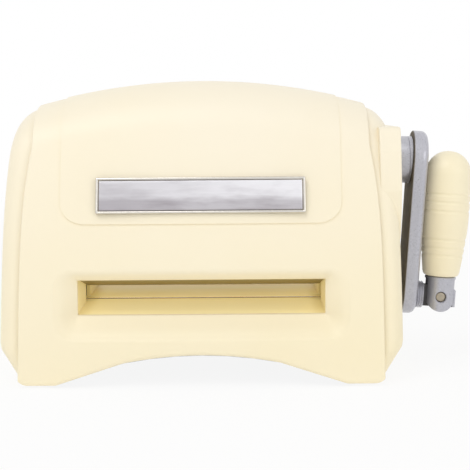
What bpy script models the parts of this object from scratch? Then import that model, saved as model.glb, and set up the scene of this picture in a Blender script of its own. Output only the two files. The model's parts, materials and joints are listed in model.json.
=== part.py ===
# Hand cranked die cutting machine for card and paper: a moulded housing on a steel frame,
# two geared rollers with a feed slot between them, and a crank with a folding handle.
# Metres, +Z up. The operator stands at -Y and the crank is at +X.
# Housing sizes are written from the middle of the housing; the whole machine is then moved
# so that the origin is the middle of its box, at the level it stands on.

import math

import bmesh
import bpy
from mathutils import Vector

# Fits
GAP = 0.0003                   # clearance between pieces that touch
OVERRUN = 0.006                # how far a cutter runs past what it cuts
WELD = 0.00001                 # points this close are one
WALL = 0.0025                  # moulded wall of the housing
SEAM = 0.00015                 # each half of the housing stops this far from the middle plane

# Housing seen from the side
CROWN_OVER_CRANK = 0.0534      # middle of the top above the crank's axis
SHOULDER_OVER_CRANK = 0.0234   # where the face turns into the crown
FACE_FOOT_DEPTH = 0.084        # half depth of the housing at the foot of its face
FACE_SHOULDER_DEPTH = 0.047    # half depth where the face turns into the crown
FACE_BULGE = 0.003
CROWN_FACE_HANDLE = 0.016
CROWN_TOP_HANDLE = 0.026
FOOT_PROUD = 0.0015            # rubber feet stand this far below the housing

# Housing seen from the front
CROWN_RADIUS = 0.398
PLAN_BOW = 0.0009              # the foot of the face falls back this much at the housing's ends
COVER_HALF_WIDTH = 0.1269      # side covers, low down
COVER_SHOULDER_HALF_WIDTH = 0.1235
COVER_STEP = 0.0028            # side covers lie this far inside the shells
COVER_END_RADIUS = 0.011
COVER_RIM_X = 0.095
SHELL_HALF_WIDTH = 0.1140      # front and rear shells, low down
SHELL_SHOULDER_HALF_WIDTH = 0.1076
CHAMFER_TOP = 0.026
FOOT_OUTER_X = 0.1125
FOOT_INNER_X = 0.0905
ARCH_KNEE_X = 0.0488
ARCH_KNEE_HEIGHT = 0.0147
ARCH_TOP = 0.0194

# Raised top cover
PANEL_HALF_WIDTH = 0.0886
PANEL_BOTTOM = 0.1001
PANEL_CORNER = 0.0145
PANEL_RAISE = 0.0008
PANEL_THICKNESS = 0.0018
PANEL_CROWN_STEPS = 5

# Feed slot and its funnel
SLOT_HALF_WIDTH = 0.078
SLOT_BOTTOM = 0.0429
SLOT_TOP = 0.0648
REAR_SLOT_BOTTOM = 0.0442       # the rear slot starts level with the top of the lower roller
SLOT_CORNER = 0.0025
MOUTH_INSET = 0.0076           # the slot mouth lies this far inside the face at its upper edge
FUNNEL_HALF_WIDTH = 0.0914
FUNNEL_BOTTOM = 0.0305
FUNNEL_TOP = 0.0703
FUNNEL_LOW_CORNER = 0.011
FUNNEL_HIGH_CORNER = 0.0065

# Nameplate
PLATE_WIDTH = 0.132
PLATE_HEIGHT = 0.0232
PLATE_CENTRE_HEIGHT = 0.1176
PLATE_THICKNESS = 0.0020
PLATE_RIM = 0.0018
PLATE_INSERT_RISE = 0.0004

# Crank pad on the right side cover
PAD_PROUD = 0.0007
PAD_CORNER = 0.006
PAD_ROOT_X = 0.1138

# Corners of the pad's outline from its foot up: height over the crank's axis, and half depth
PAD_CORNERS = ((-0.0505, 0.0460), (-0.0330, 0.0505), (-0.0180, 0.0524), (0.0069, 0.0480), (0.0227, 0.0432))

# Base pan and feet
PAN_THICKNESS = 0.0015
PAN_INSET = 0.0062             # its edges inside the foot of the face
FOOT_RADIUS = 0.0065
FOOT_STEM_RADIUS = 0.0025
FOOT_STEM_LENGTH = 0.005
FOOT_X = 0.1028
FOOT_INSET = 0.026             # feet inside the foot of the face

# Steel frame
FRAME_INNER_X = 0.0815
FRAME_THICKNESS = 0.004
FRAME_INSET = 0.024            # its edges inside the foot of the face
FRAME_TOP_INSET = 0.013        # its upper corners inside the shoulder of the face
FRAME_KNEE_HEIGHT = 0.078
FRAME_TOP_OVER_CRANK = 0.0214
FRAME_CORNER = 0.006
ROD_RADIUS = 0.0036
ROD_LOW_INSET = 0.014          # lower rods inside the edges of the frame
ROD_LOW_Z = 0.0275
ROD_HIGH_INSET = 0.010         # upper rods inside the frame's upper corners
ROD_HIGH_DROP = 0.009          # upper rods under the top of the frame
ROD_SCREW_RADIUS = 0.002
ROD_SCREW_LENGTH = 0.018
ROD_SCREW_HEAD_RADIUS = 0.0038
ROD_SCREW_HEAD_HEIGHT = 0.0024

# Rollers and their bushes
ROLLER_RADIUS = 0.0116
ROLLER_HALF_LENGTH = 0.0796
ROLLER_RISE = 0.0013           # the lower roller's top lies this far over the front slot's lower edge
JOURNAL_RADIUS = 0.0068
GEAR_SEAT_RADIUS = 0.0056
BUSH_WALL = 0.0022
BUSH_FLANGE = 0.0022
BUSH_FLANGE_THICKNESS = 0.0011
BUSH_PROUD = 0.001
CLIP_WIDTH = 0.0024
CLIP_THICKNESS = 0.0012
CLIP_END = 0.0012

# Gears
ROLLER_GEAR_MODULE = 0.0015
ROLLER_GEAR_TEETH = 22
DRIVE_MODULE = 0.002
DRIVE_GEAR_TEETH = 55
PINION_TEETH = 16
GEAR_WIDTH = 0.008
GEAR_BACKLASH = 0.0003
PRESSURE_ANGLE = math.radians(20)
ADDENDUM_SHARE = 0.8
DEDENDUM_SHARE = 1.05

# Feed decks and upper guides
DECK_DROP = 0.0006             # outer end of the front deck under the slot's lower edge
DECK_ROLLER_DROP = 0.0002      # decks beside the lower roller under its top
DECK_THICKNESS = 0.0025
DECK_LIP = 0.009
CHEEK_X = 0.0786               # inner face of the walls beside a deck
CHEEK_THICKNESS = 0.0023
CHEEK_START = 0.0122           # they end this far from the rollers' middle plane
GUIDE_THICKNESS = 0.002
GUIDE_HALF_WIDTH = 0.0782
GUIDE_LIP = 0.008

# Crank
SHAFT_RADIUS = 0.0055
SHAFT_BORE_RADIUS = 0.0028
SHAFT_BORE_DEPTH = 0.014
HUB_RADIUS = 0.0157
HUB_BEVEL = 0.0006
CRANK_LEAN = math.radians(3.8)
ARM_INNER_X = 0.1395           # inner face of the arm at the crank axis
ARM_LENGTH = 0.0908            # crank axis to folding pin
ARM_BIG_RADIUS = 0.0195
ARM_SMALL_RADIUS = 0.0170
ARM_LOW_CENTRE = 0.0870        # crank axis to the middle of the arm's lower end
ARM_TOP_THICKNESS = 0.0100
ARM_LOW_THICKNESS = 0.0098
ARM_OUTER_ROUND = 0.0043
ARM_INNER_ROUND = 0.0010
ARM_SCREW_RADIUS = 0.0025
ARM_SCREW_LENGTH = 0.010
ARM_SCREW_HEAD_RADIUS = 0.0055
ARM_SCREW_HEAD_HEIGHT = 0.0026

# Folding knuckle, fork and handle, measured along the leaning crank
KNUCKLE_REACH = 0.0261         # folding pin from the arm's inner face
KNUCKLE_RADIUS = 0.0092
KNUCKLE_LENGTH = 0.0045
KNUCKLE_GROOVE = 0.0006
SPIGOT_RADIUS = 0.0048
TONGUE_HALF_HEIGHT = 0.0070
TONGUE_HALF_THICKNESS = 0.0048
TONGUE_BEYOND_PIN = 0.0105
TONGUE_CHAMFER = 0.0028        # at the corner that the fork's bridge passes over while folding
PIN_RADIUS = 0.00335
PIN_RECESS = 0.0006
PIN_COUNTERBORE = 0.0007
PIN_COUNTERBORE_DEPTH = 0.0012
FORK_OFFSET = 0.0002           # fork and handle axis lie this far outside the pin
FORK_RADIUS = 0.0104
FORK_HALF_THICKNESS = 0.0103
FORK_END_RADIUS = 0.0099
FORK_BRIDGE_LOW = 0.0117
FORK_BRIDGE_HIGH = 0.0134
GRIP_LENGTH = 0.0843
GRIP_LOW_RADIUS = 0.0122
GRIP_SHOULDER_RADIUS = 0.0154  # where the barrel turns into the dome
GRIP_RIM_ROUND = 0.0024
GRIP_DOME_HEIGHT = 0.016
GRIP_GROOVE_DEPTH = 0.0004
GRIP_GROOVE_WIDTH = 0.0011
GRIP_WALL_TOP = 0.020          # solid plastic left above the spindle
SPINDLE_RADIUS = 0.0035
SPINDLE_SNAP_RISE = 0.0008
SPINDLE_SNAP_LENGTH = 0.004

# Grooves and barrel of the grip at shares of its length from the bottom: centres, then radii
GRIP_GROOVES = (0.1725, 0.231, 0.298, 0.5255, 0.597, 0.658)
GRIP_BARREL = ((0.058, 0.0127), (0.154, 0.0138), (0.250, 0.0146), (0.346, 0.0154), (0.433, 0.0158),
               (0.528, 0.0159), (0.670, 0.0158))

# Worked out from the sizes above
PAD_FACE_X = COVER_HALF_WIDTH + PAD_PROUD
LOWER_ROLLER_Z = SLOT_BOTTOM + ROLLER_RISE - ROLLER_RADIUS
ROLLER_SPACING = ROLLER_GEAR_MODULE * ROLLER_GEAR_TEETH
UPPER_ROLLER_Z = LOWER_ROLLER_Z + ROLLER_SPACING
CRANK_Z = UPPER_ROLLER_Z + DRIVE_MODULE * (DRIVE_GEAR_TEETH + PINION_TEETH) / 2
BODY_HEIGHT = CRANK_Z + CROWN_OVER_CRANK
SHELL_CROWN = BODY_HEIGHT - PANEL_RAISE
SHOULDER_HEIGHT = CRANK_Z + SHOULDER_OVER_CRANK
DECK_HALF_WIDTH = FRAME_INNER_X - GAP
DECK_ROLLER_HEIGHT = SLOT_BOTTOM + ROLLER_RISE - DECK_ROLLER_DROP
PAN_HALF_DEPTH = FACE_FOOT_DEPTH - PAN_INSET
FOOT_Y = FACE_FOOT_DEPTH - FOOT_INSET
FRAME_HALF_DEPTH = FACE_FOOT_DEPTH - FRAME_INSET
FRAME_TOP_HALF_DEPTH = FACE_SHOULDER_DEPTH - FRAME_TOP_INSET
FRAME_TOP = CRANK_Z + FRAME_TOP_OVER_CRANK
FRAME_OUTER_X = FRAME_INNER_X + FRAME_THICKNESS
ROD_LOW_Y = FRAME_HALF_DEPTH - ROD_LOW_INSET
ROD_HIGH_Y = FRAME_TOP_HALF_DEPTH - ROD_HIGH_INSET
ROD_HIGH_Z = FRAME_TOP - ROD_HIGH_DROP
BUSH_END_X = FRAME_OUTER_X + BUSH_PROUD
ROLLER_GEAR_X = BUSH_END_X + GAP
DRIVE_GEAR_X = ROLLER_GEAR_X + GEAR_WIDTH + GAP
DRIVE_END_X = DRIVE_GEAR_X + GEAR_WIDTH
ALONG_ARM = Vector((-math.sin(CRANK_LEAN), 0, -math.cos(CRANK_LEAN)))
OUT_OF_ARM = Vector((math.cos(CRANK_LEAN), 0, -math.sin(CRANK_LEAN)))
ARM_ROOT = Vector((ARM_INNER_X, 0, CRANK_Z))
PIN_PLACE = ARM_ROOT + ALONG_ARM * ARM_LENGTH + OUT_OF_ARM * KNUCKLE_REACH
GRIP_START = FORK_BRIDGE_HIGH + GAP
GRIP_TOP = GRIP_START + GRIP_LENGTH
GRIP_WIDEST = GRIP_TOP - GRIP_DOME_HEIGHT
GRIP_OUTER_X = PIN_PLACE.x + OUT_OF_ARM.x * (FORK_OFFSET + GRIP_SHOULDER_RADIUS) - ALONG_ARM.x * GRIP_WIDEST
FRAME_SHIFT = (GRIP_OUTER_X - COVER_HALF_WIDTH) / 2

# Which way round a piece is laid
ALONG_X = (0, math.pi / 2, 0)
IN_YZ = (math.pi / 2, 0, math.pi / 2)
IN_XZ = (math.pi / 2, 0, 0)


def clear_scene():
    for item in list(bpy.data.objects):
        bpy.data.objects.remove(item, do_unlink=True)


clear_scene()
machine = bpy.data.collections.new("die_cutting_machine")
cutters = bpy.data.collections.new("cutters")
bpy.context.scene.collection.children.link(machine)
bpy.context.scene.collection.children.link(cutters)


# Materials

def finish(name, colour, roughness, metallic=0.0):
    material = bpy.data.materials.new(name)
    material.use_nodes = True
    shader = material.node_tree.nodes["Principled BSDF"]
    shader.inputs["Base Color"].default_value = (*colour, 1)
    shader.inputs["Roughness"].default_value = roughness
    shader.inputs["Metallic"].default_value = metallic
    return material


CREAM = finish("cream_plastic", (0.93, 0.86, 0.64), 0.45)
CREAM_DECK = finish("cream_deck_plastic", (0.88, 0.79, 0.55), 0.5)
SILVER = finish("silver_paint", (0.42, 0.42, 0.45), 0.4, 0.6)
STEEL = finish("bright_steel", (0.62, 0.61, 0.59), 0.3, 1.0)
FRAME_STEEL = finish("frame_steel", (0.48, 0.49, 0.50), 0.45, 1.0)
BRONZE = finish("sintered_bronze", (0.55, 0.38, 0.20), 0.5, 1.0)
GEAR_PLASTIC = finish("white_acetal", (0.85, 0.85, 0.82), 0.4)
CHROME = finish("chrome_trim", (0.78, 0.78, 0.78), 0.12, 1.0)
PLATE_FACE = finish("plate_face", (0.80, 0.79, 0.82), 0.15, 0.3)
RUBBER = finish("black_rubber", (0.03, 0.03, 0.03), 0.8)


# Making objects

def place(item, parent, location=(0, 0, 0), rotation=(0, 0, 0)):
    item.location = location
    item.rotation_euler = rotation
    item.parent = parent
    return item


def guide(name, parent, location=(0, 0, 0), rotation=(0, 0, 0)):
    empty = bpy.data.objects.new(name, None)
    empty.hide_render = True
    machine.objects.link(empty)
    return place(empty, parent, location, rotation)


def mesh_object(name, form, material, parent, location=(0, 0, 0), rotation=(0, 0, 0)):
    mesh = bpy.data.meshes.new(name)
    bmesh.ops.recalc_face_normals(form, faces=form.faces)
    form.to_mesh(mesh)
    form.free()
    item = bpy.data.objects.new(name, mesh)
    link(item, material)
    return place(item, parent, location, rotation)


def link(item, material):
    """A piece has a material; a cutter has none and is kept out of the model."""
    if material is None:
        item.hide_render = True
        item.display_type = "WIRE"
        cutters.objects.link(item)
    else:
        item.data.materials.append(material)
        machine.objects.link(item)


def block(name, low, high, material, parent, location=(0, 0, 0), rotation=(0, 0, 0)):
    form = bmesh.new()
    bmesh.ops.create_cube(form, size=1)
    for vertex in form.verts:
        for axis in range(3):
            vertex.co[axis] = low[axis] + (vertex.co[axis] + 0.5) * (high[axis] - low[axis])
    return mesh_object(name, form, material, parent, location, rotation)


def rod_outline(stations, bore=None):
    """Stations are (height, radius) from the low end up. A bore is (depth, radius) in the top end."""
    outline = []
    top = stations[-1][0]
    if bore:
        depth, radius = bore
        outline += [(0, top - depth), (radius, top - depth), (radius, top)]
    else:
        outline.append((0, top))
    outline += [(radius, height) for height, radius in reversed(stations)]
    outline.append((0, stations[0][0]))
    return outline


def sleeve_outline(stations, bore):
    """Stations are (height, radius) from the low end up, around a plain through bore."""
    outline = [(radius, height) for height, radius in reversed(stations)]
    outline += [(bore, stations[0][0]), (bore, stations[-1][0])]
    return outline


def turned(name, outline, material, parent, location=(0, 0, 0), rotation=(0, 0, 0), steps=32, ring=False):
    """Turns an outline of (radius, height) points about local Z."""
    mesh = bpy.data.meshes.new(name)
    count = len(outline)
    edges = [(i, i + 1) for i in range(count - 1)]
    if ring:
        edges.append((count - 1, 0))
    mesh.from_pydata([(radius, 0, height) for radius, height in outline], edges, [])
    item = bpy.data.objects.new(name, mesh)
    link(item, material)
    screw = item.modifiers.new("turn", "SCREW")
    screw.axis = "Z"
    screw.steps = steps
    screw.render_steps = steps
    screw.use_merge_vertices = True
    screw.merge_threshold = WELD
    screw.use_smooth_shade = True
    return place(item, parent, location, rotation)


def flat_piece(name, outlines, thickness, material, parent, location=(0, 0, 0), rotation=(0, 0, 0)):
    """A flat piece from closed outlines; an outline inside another is a hole."""
    curve = bpy.data.curves.new(name, "CURVE")
    curve.dimensions = "2D"
    curve.fill_mode = "BOTH"
    curve.extrude = thickness / 2
    for outline in outlines:
        spline = curve.splines.new("POLY")
        spline.points.add(len(outline) - 1)
        for point, (across, up) in zip(spline.points, outline):
            point.co = (across, up, 0, 1)
        spline.use_cyclic_u = True
    item = bpy.data.objects.new(name, curve)
    link(item, material)
    return place(item, parent, location, rotation)


def as_mesh(curve_item):
    """Turns a curve object into a welded mesh object that Booleans can use."""
    bpy.context.view_layer.update()
    evaluated = curve_item.evaluated_get(bpy.context.evaluated_depsgraph_get())
    mesh = bpy.data.meshes.new_from_object(evaluated)
    form = bmesh.new()
    form.from_mesh(mesh)
    bmesh.ops.remove_doubles(form, verts=form.verts, dist=WELD)
    bmesh.ops.recalc_face_normals(form, faces=form.faces)
    form.to_mesh(mesh)
    form.free()
    name = curve_item.name
    parent = curve_item.parent
    hidden = curve_item.hide_render
    world = curve_item.matrix_world.copy()
    bpy.data.objects.remove(curve_item, do_unlink=True)
    item = bpy.data.objects.new(name, mesh)
    if hidden:
        link(item, None)
    else:
        machine.objects.link(item)
    item.parent = parent
    bpy.context.view_layer.update()
    item.matrix_world = world
    return item


def boolean(item, other, operation):
    modifier = item.modifiers.new(other.name, "BOOLEAN")
    modifier.operation = operation
    modifier.object = other
    return item


def cut(item, *others):
    for other in others:
        boolean(item, other, "DIFFERENCE")
    return item


def join(item, *others):
    for other in others:
        boolean(item, other, "UNION")
    return item


def bevel(item, width, segments, angle=math.radians(40)):
    modifier = item.modifiers.new("edges", "BEVEL")
    modifier.width = width
    modifier.segments = segments
    modifier.limit_method = "ANGLE"
    modifier.angle_limit = angle
    return item


# Outlines

def arc(centre, radius, start, end, steps):
    """Points from one angle to another, in degrees."""
    points = []
    for step in range(steps + 1):
        angle = math.radians(start + (end - start) * step / steps)
        points.append((centre[0] + radius * math.cos(angle), centre[1] + radius * math.sin(angle)))
    return points


def circle(centre, radius, steps=24):
    return arc(centre, radius, 0, 360, steps)[:-1]


def rounded(corners, radius, steps=3):
    """A convex outline, corners in anticlockwise order, each rounded to one radius."""
    points = []
    count = len(corners)
    for index, corner in enumerate(corners):
        here = Vector(corner)
        back = (Vector(corners[index - 1]) - here).normalized()
        ahead = (Vector(corners[(index + 1) % count]) - here).normalized()
        half = back.angle(ahead) / 2
        reach = radius / math.tan(half)
        centre = here + (back + ahead).normalized() * (radius / math.sin(half))
        start = here + back * reach - centre
        end = here + ahead * reach - centre
        turn = start.angle_signed(end)
        for step in range(steps + 1):
            angle = -turn * step / steps
            spoke = Vector((start.x * math.cos(angle) - start.y * math.sin(angle),
                            start.x * math.sin(angle) + start.y * math.cos(angle)))
            points.append(tuple(centre + spoke))
    return points


def rounded_rectangle(half_width, low, high, low_corner, high_corner, steps=4):
    points = arc((half_width - low_corner, low + low_corner), low_corner, -90, 0, steps)
    points += arc((half_width - high_corner, high - high_corner), high_corner, 0, 90, steps)
    points += arc((high_corner - half_width, high - high_corner), high_corner, 90, 180, steps)
    points += arc((low_corner - half_width, low + low_corner), low_corner, 180, 270, steps)
    return points


def gear_outline(teeth, module, first_tooth, flank_steps):
    """Involute teeth; first_tooth is the angle of one tooth's middle."""
    pitch = module * teeth / 2
    base = pitch * math.cos(PRESSURE_ANGLE)
    tip = pitch + ADDENDUM_SHARE * module
    root = pitch - DEDENDUM_SHARE * module
    at_pitch = math.pi / (2 * teeth) - GEAR_BACKLASH / (4 * pitch)
    at_base = at_pitch + math.tan(PRESSURE_ANGLE) - PRESSURE_ANGLE
    start = max(root, base)
    flank = []
    if root < base:
        flank.append((root, at_base))
    for step in range(flank_steps + 1):
        radius = start + (tip - start) * step / flank_steps
        roll = math.acos(min(1, base / radius))
        flank.append((radius, at_base - (math.tan(roll) - roll)))
    outline = []
    for tooth in range(teeth):
        middle = first_tooth + 2 * math.pi * tooth / teeth
        for radius, half in flank:
            outline.append((radius * math.cos(middle - half), radius * math.sin(middle - half)))
        for radius, half in reversed(flank):
            outline.append((radius * math.cos(middle + half), radius * math.sin(middle + half)))
    return outline


# The housing's form

def face_point(height):
    """Half depth and height of the shells' face at a height."""
    share = (height - FOOT_PROUD) / (SHOULDER_HEIGHT - FOOT_PROUD)
    depth = FACE_FOOT_DEPTH + (FACE_SHOULDER_DEPTH - FACE_FOOT_DEPTH) * share
    return Vector((depth + 4 * FACE_BULGE * share * (1 - share), height))


MOUTH_DEPTH = face_point(SLOT_TOP).x - MOUTH_INSET


def crown_point(share):
    """The crown from the shoulder, at 0, to the middle of the top, at 1."""
    start = face_point(SHOULDER_HEIGHT)
    slope = (start - face_point(SHOULDER_HEIGHT - OVERRUN)).normalized()
    end = Vector((0, SHELL_CROWN))
    first = start + slope * CROWN_FACE_HANDLE
    second = end + Vector((CROWN_TOP_HANDLE, 0))
    rest = 1 - share
    return (start * rest ** 3 + first * 3 * rest ** 2 * share
            + second * 3 * rest * share ** 2 + end * share ** 3)


def section(levels, crown_steps, offset):
    """Points up the face and over the crown to the middle plane, moved out by offset."""
    path = [face_point(height) for height in levels]
    path += [crown_point(step / crown_steps) for step in range(1, crown_steps + 1)]
    moved = []
    for index, point in enumerate(path):
        if index == len(path) - 1:
            across = Vector((0, 1))
        else:
            before = path[max(index - 1, 0)]
            run = path[index + 1] - before
            across = Vector((run.y, -run.x)).normalized()
        place_out = point + across * offset
        if index == 0:
            place_out = Vector((place_out.x, point.y))
        moved.append(place_out)
    return moved


def on_housing(x, point):
    """Depth and height of a section point moved to x, under the arch of the crown."""
    drop = x * x / (2 * CROWN_RADIUS)
    depth = point.x * (1 - PLAN_BOW / FACE_FOOT_DEPTH * (x / COVER_HALF_WIDTH) ** 2)
    return depth, point.y * (1 - drop / BODY_HEIGHT)


def chamfer_half_width(height):
    share = (height - FOOT_PROUD) / (CHAMFER_TOP - FOOT_PROUD)
    return FOOT_OUTER_X + (COVER_HALF_WIDTH - FOOT_OUTER_X) * share


def cover_half_width(height):
    if height < CHAMFER_TOP:
        return chamfer_half_width(height)
    share = (height - CHAMFER_TOP) / (SHOULDER_HEIGHT - CHAMFER_TOP)
    return COVER_HALF_WIDTH - (COVER_HALF_WIDTH - COVER_SHOULDER_HALF_WIDTH) * share ** 4


def shell_half_width(height):
    share = min(1, max(0, height - CHAMFER_TOP) / (SHOULDER_HEIGHT - CHAMFER_TOP))
    plain = SHELL_HALF_WIDTH - (SHELL_HALF_WIDTH - SHELL_SHOULDER_HALF_WIDTH) * share ** 4
    return min(plain, chamfer_half_width(height))


def levels_between(low, high, breaks, steps):
    """Heights from low to high in even steps, with the breaks added between them."""
    even = [low + (high - low) * step / steps for step in range(steps + 1)]
    spacing = (high - low) / steps
    kept = [level for level in even if all(abs(level - other) > spacing / 3 for other in breaks)]
    inside = [level for level in breaks if low < level < high]
    return sorted(set(kept + inside + [low, high]))


def lofted(name, fronts, rears, material):
    """A closed solid between two grids of points that share their heights."""
    form = bmesh.new()
    front = [[form.verts.new(point) for point in row] for row in fronts]
    rear = [[form.verts.new(point) for point in row] for row in rears]
    columns = len(front)
    rows = len(front[0])
    for i in range(columns - 1):
        for j in range(rows - 1):
            form.faces.new((front[i][j], front[i + 1][j], front[i + 1][j + 1], front[i][j + 1]))
            form.faces.new((rear[i][j], rear[i][j + 1], rear[i + 1][j + 1], rear[i + 1][j]))
        form.faces.new((front[i][0], rear[i][0], rear[i + 1][0], front[i + 1][0]))
        form.faces.new((front[i][-1], front[i + 1][-1], rear[i + 1][-1], rear[i][-1]))
    for j in range(rows - 1):
        for i in (0, columns - 1):
            form.faces.new((front[i][j], front[i][j + 1], rear[i][j + 1], rear[i][j]))
    bmesh.ops.remove_doubles(form, verts=form.verts, dist=WELD)
    bmesh.ops.dissolve_degenerate(form, dist=WELD, edges=form.edges)
    return mesh_object(name, form, material, root)


def shell_solid(name, side, offset, low, reach, seam, material=None):
    """Half of the shells' solid: side is -1 for the front, reach lengthens it past its ends."""
    chamfer_meets = FOOT_PROUD + (CHAMFER_TOP - FOOT_PROUD) * (
        (SHELL_HALF_WIDTH - FOOT_OUTER_X) / (COVER_HALF_WIDTH - FOOT_OUTER_X))
    levels = levels_between(low, SHOULDER_HEIGHT, [chamfer_meets, CHAMFER_TOP], 6)
    points = section(levels, 5, offset)
    count = 10
    outer, inner = [], []
    for step in range(count + 1):
        share = 2 * step / count - 1
        outer_row, inner_row = [], []
        for index, point in enumerate(points):
            x = share * (shell_half_width(point.y) + reach)
            depth, height = on_housing(x, point)
            at_top = index == len(points) - 1
            outer_row.append((x, side * (max(seam, 0) if at_top else depth), height))
            inner_row.append((x, side * seam, height))
        outer.append(outer_row)
        inner.append(inner_row)
    return lofted(name, outer, inner, material)


def cover_solid(name, side, offset, inset, rim, low, material=None):
    """A side cover's solid: side is 1 for the right, inset shortens its end."""
    levels = levels_between(low, SHOULDER_HEIGHT, [CHAMFER_TOP], 6)
    radius = COVER_END_RADIUS - inset
    ends = [(0, 0), (1, 0)] + [(1, step / 3) for step in range(1, 4)]
    fronts, rears = [], []
    for run, turn in ends:
        angle = turn * math.pi / 2
        points = section(levels, 5, offset - radius * (1 - math.cos(angle)))
        front_row, rear_row = [], []
        for point in points:
            flat_end = cover_half_width(point.y) - inset - radius
            x = side * (rim + (flat_end - rim) * run + radius * math.sin(angle))
            depth, height = on_housing(x, point)
            front_row.append((x, -depth, height))
            rear_row.append((x, depth, height))
        fronts.append(front_row)
        rears.append(rear_row)
    return lofted(name, fronts, rears, material)


def funnel_solid(name, side, grow, deepen, material=None):
    """The funnel from outside the face in to the slot mouth, each side grown by grow."""
    def ring(half_width, low, high, low_corner, high_corner):
        return rounded_rectangle(half_width + grow, low - grow, high + grow, low_corner, high_corner)
    sill = SLOT_BOTTOM if side < 0 else REAR_SLOT_BOTTOM
    mouth = ring(SLOT_HALF_WIDTH, sill, SLOT_TOP, SLOT_CORNER, SLOT_CORNER)
    face = ring(FUNNEL_HALF_WIDTH, FUNNEL_BOTTOM, FUNNEL_TOP, FUNNEL_LOW_CORNER, FUNNEL_HIGH_CORNER)
    form = bmesh.new()
    rings = []
    rings.append([form.verts.new((x, side * (MOUTH_DEPTH - deepen), z)) for x, z in mouth])
    if grow == 0:
        rings.append([form.verts.new((x, side * MOUTH_DEPTH, z)) for x, z in mouth])
    outside = []
    for (mouth_x, mouth_z), (x, z) in zip(mouth, face):
        depth = on_housing(x, face_point(z))[0]
        run = OVERRUN / (depth - MOUTH_DEPTH)
        outside.append(form.verts.new((x + (x - mouth_x) * run, side * (depth + OVERRUN),
                                       z + (z - mouth_z) * run)))
    rings.append(outside)
    for inner, outer in zip(rings, rings[1:]):
        for index in range(len(inner)):
            after = (index + 1) % len(inner)
            form.faces.new((inner[index], inner[after], outer[after], outer[index]))
    form.faces.new(rings[0])
    form.faces.new(rings[-1])
    return mesh_object(name, form, material, root)


def arch_height(x):
    """Lower edge of the housing at x."""
    x = abs(x)
    if x >= FOOT_INNER_X:
        return FOOT_PROUD
    if x >= ARCH_KNEE_X:
        share = (FOOT_INNER_X - x) / (FOOT_INNER_X - ARCH_KNEE_X)
        return FOOT_PROUD + (ARCH_KNEE_HEIGHT - FOOT_PROUD) * share
    return ARCH_TOP - (ARCH_TOP - ARCH_KNEE_HEIGHT) * (x / ARCH_KNEE_X) ** 2


def pan_bottom(x):
    return arch_height(x) - GAP


# Housing pieces

def make_shells():
    arch_steps = 6
    half = [ARCH_KNEE_X * (1 - step / arch_steps) for step in range(arch_steps)]
    spans = [FOOT_INNER_X] + half
    edge = [(-x, arch_height(x)) for x in spans] + [(0, ARCH_TOP)]
    edge += [(x, arch_height(x)) for x in reversed(spans)]
    edge += [(FOOT_INNER_X, -OVERRUN), (-FOOT_INNER_X, -OVERRUN)]
    arch_cutter = as_mesh(flat_piece("arch_cutter", [edge], 2 * FACE_FOOT_DEPTH + OVERRUN, None, root,
                                     rotation=IN_XZ))
    pocket = panel_solid("panel_pocket", PANEL_HALF_WIDTH + GAP, PANEL_BOTTOM - GAP,
                         PANEL_RAISE - PANEL_THICKNESS - GAP, OVERRUN)
    for name, side in (("front_shell", -1), ("rear_shell", 1)):
        shell = shell_solid(name, side, 0, FOOT_PROUD, 0, SEAM, CREAM)
        hollow = shell_solid(name + "_hollow", side, -WALL, -OVERRUN, OVERRUN, -OVERRUN)
        cut(hollow, funnel_solid(name + "_funnel_wall", side, WALL, WALL))
        cut(shell, hollow, funnel_solid(name + "_funnel", side, 0, WALL + OVERRUN), arch_cutter, pocket)


def panel_path(levels, widths, across, offset):
    """One column of the top cover. Its lower edge stays level where the crown falls."""
    raised = []
    for level, width in zip(levels, widths):
        drop = (across * width) ** 2 / (2 * CROWN_RADIUS)
        share = (level - levels[0]) / (SHOULDER_HEIGHT - levels[0])
        raised.append(level / (1 - drop * (1 - share) / BODY_HEIGHT))
    path = section(raised, PANEL_CROWN_STEPS, offset)
    return path + [Vector((-point.x, point.y)) for point in reversed(path[:-1])]


def panel_solid(name, half_width, bottom, inner_offset, outer_offset, material=None):
    """The saddle of the top cover between two offsets from the shells' surface."""
    corner_levels = [bottom + PANEL_CORNER * (1 - math.cos(math.radians(angle))) for angle in (0, 30, 60, 90)]
    levels = corner_levels + levels_between(bottom + PANEL_CORNER, SHOULDER_HEIGHT, [], 4)[1:]
    widths = []
    for level in levels:
        rise = max(0, bottom + PANEL_CORNER - level)
        widths.append(half_width - PANEL_CORNER + math.sqrt(max(0, PANEL_CORNER ** 2 - rise ** 2)))
    widths += [half_width] * PANEL_CROWN_STEPS
    widths = widths + widths[-2::-1]
    count = 8
    form = bmesh.new()
    grids = []
    for offset in (inner_offset, outer_offset):
        rows = []
        for step in range(count + 1):
            across = 2 * step / count - 1
            row = []
            for width, point in zip(widths, panel_path(levels, widths, across, offset)):
                x = across * width
                flip = -1 if point.x < 0 else 1
                depth, height = on_housing(x, Vector((abs(point.x), point.y)))
                row.append(form.verts.new((x, -flip * depth if point.x else 0, height)))
            rows.append(row)
        grids.append(rows)
    inner, outer = grids
    last = len(widths) - 1
    for i in range(count):
        for j in range(last):
            form.faces.new((inner[i][j], inner[i][j + 1], inner[i + 1][j + 1], inner[i + 1][j]))
            form.faces.new((outer[i][j], outer[i + 1][j], outer[i + 1][j + 1], outer[i][j + 1]))
        for j in (0, last):
            form.faces.new((inner[i][j], inner[i + 1][j], outer[i + 1][j], outer[i][j]))
    for j in range(last):
        for i in (0, count):
            form.faces.new((inner[i][j], inner[i][j + 1], outer[i][j + 1], outer[i][j]))
    return mesh_object(name, form, material, root)


def make_top_cover():
    inside = PANEL_RAISE - PANEL_THICKNESS
    panel_solid("top_cover", PANEL_HALF_WIDTH, PANEL_BOTTOM, inside, PANEL_RAISE, CREAM)


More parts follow.
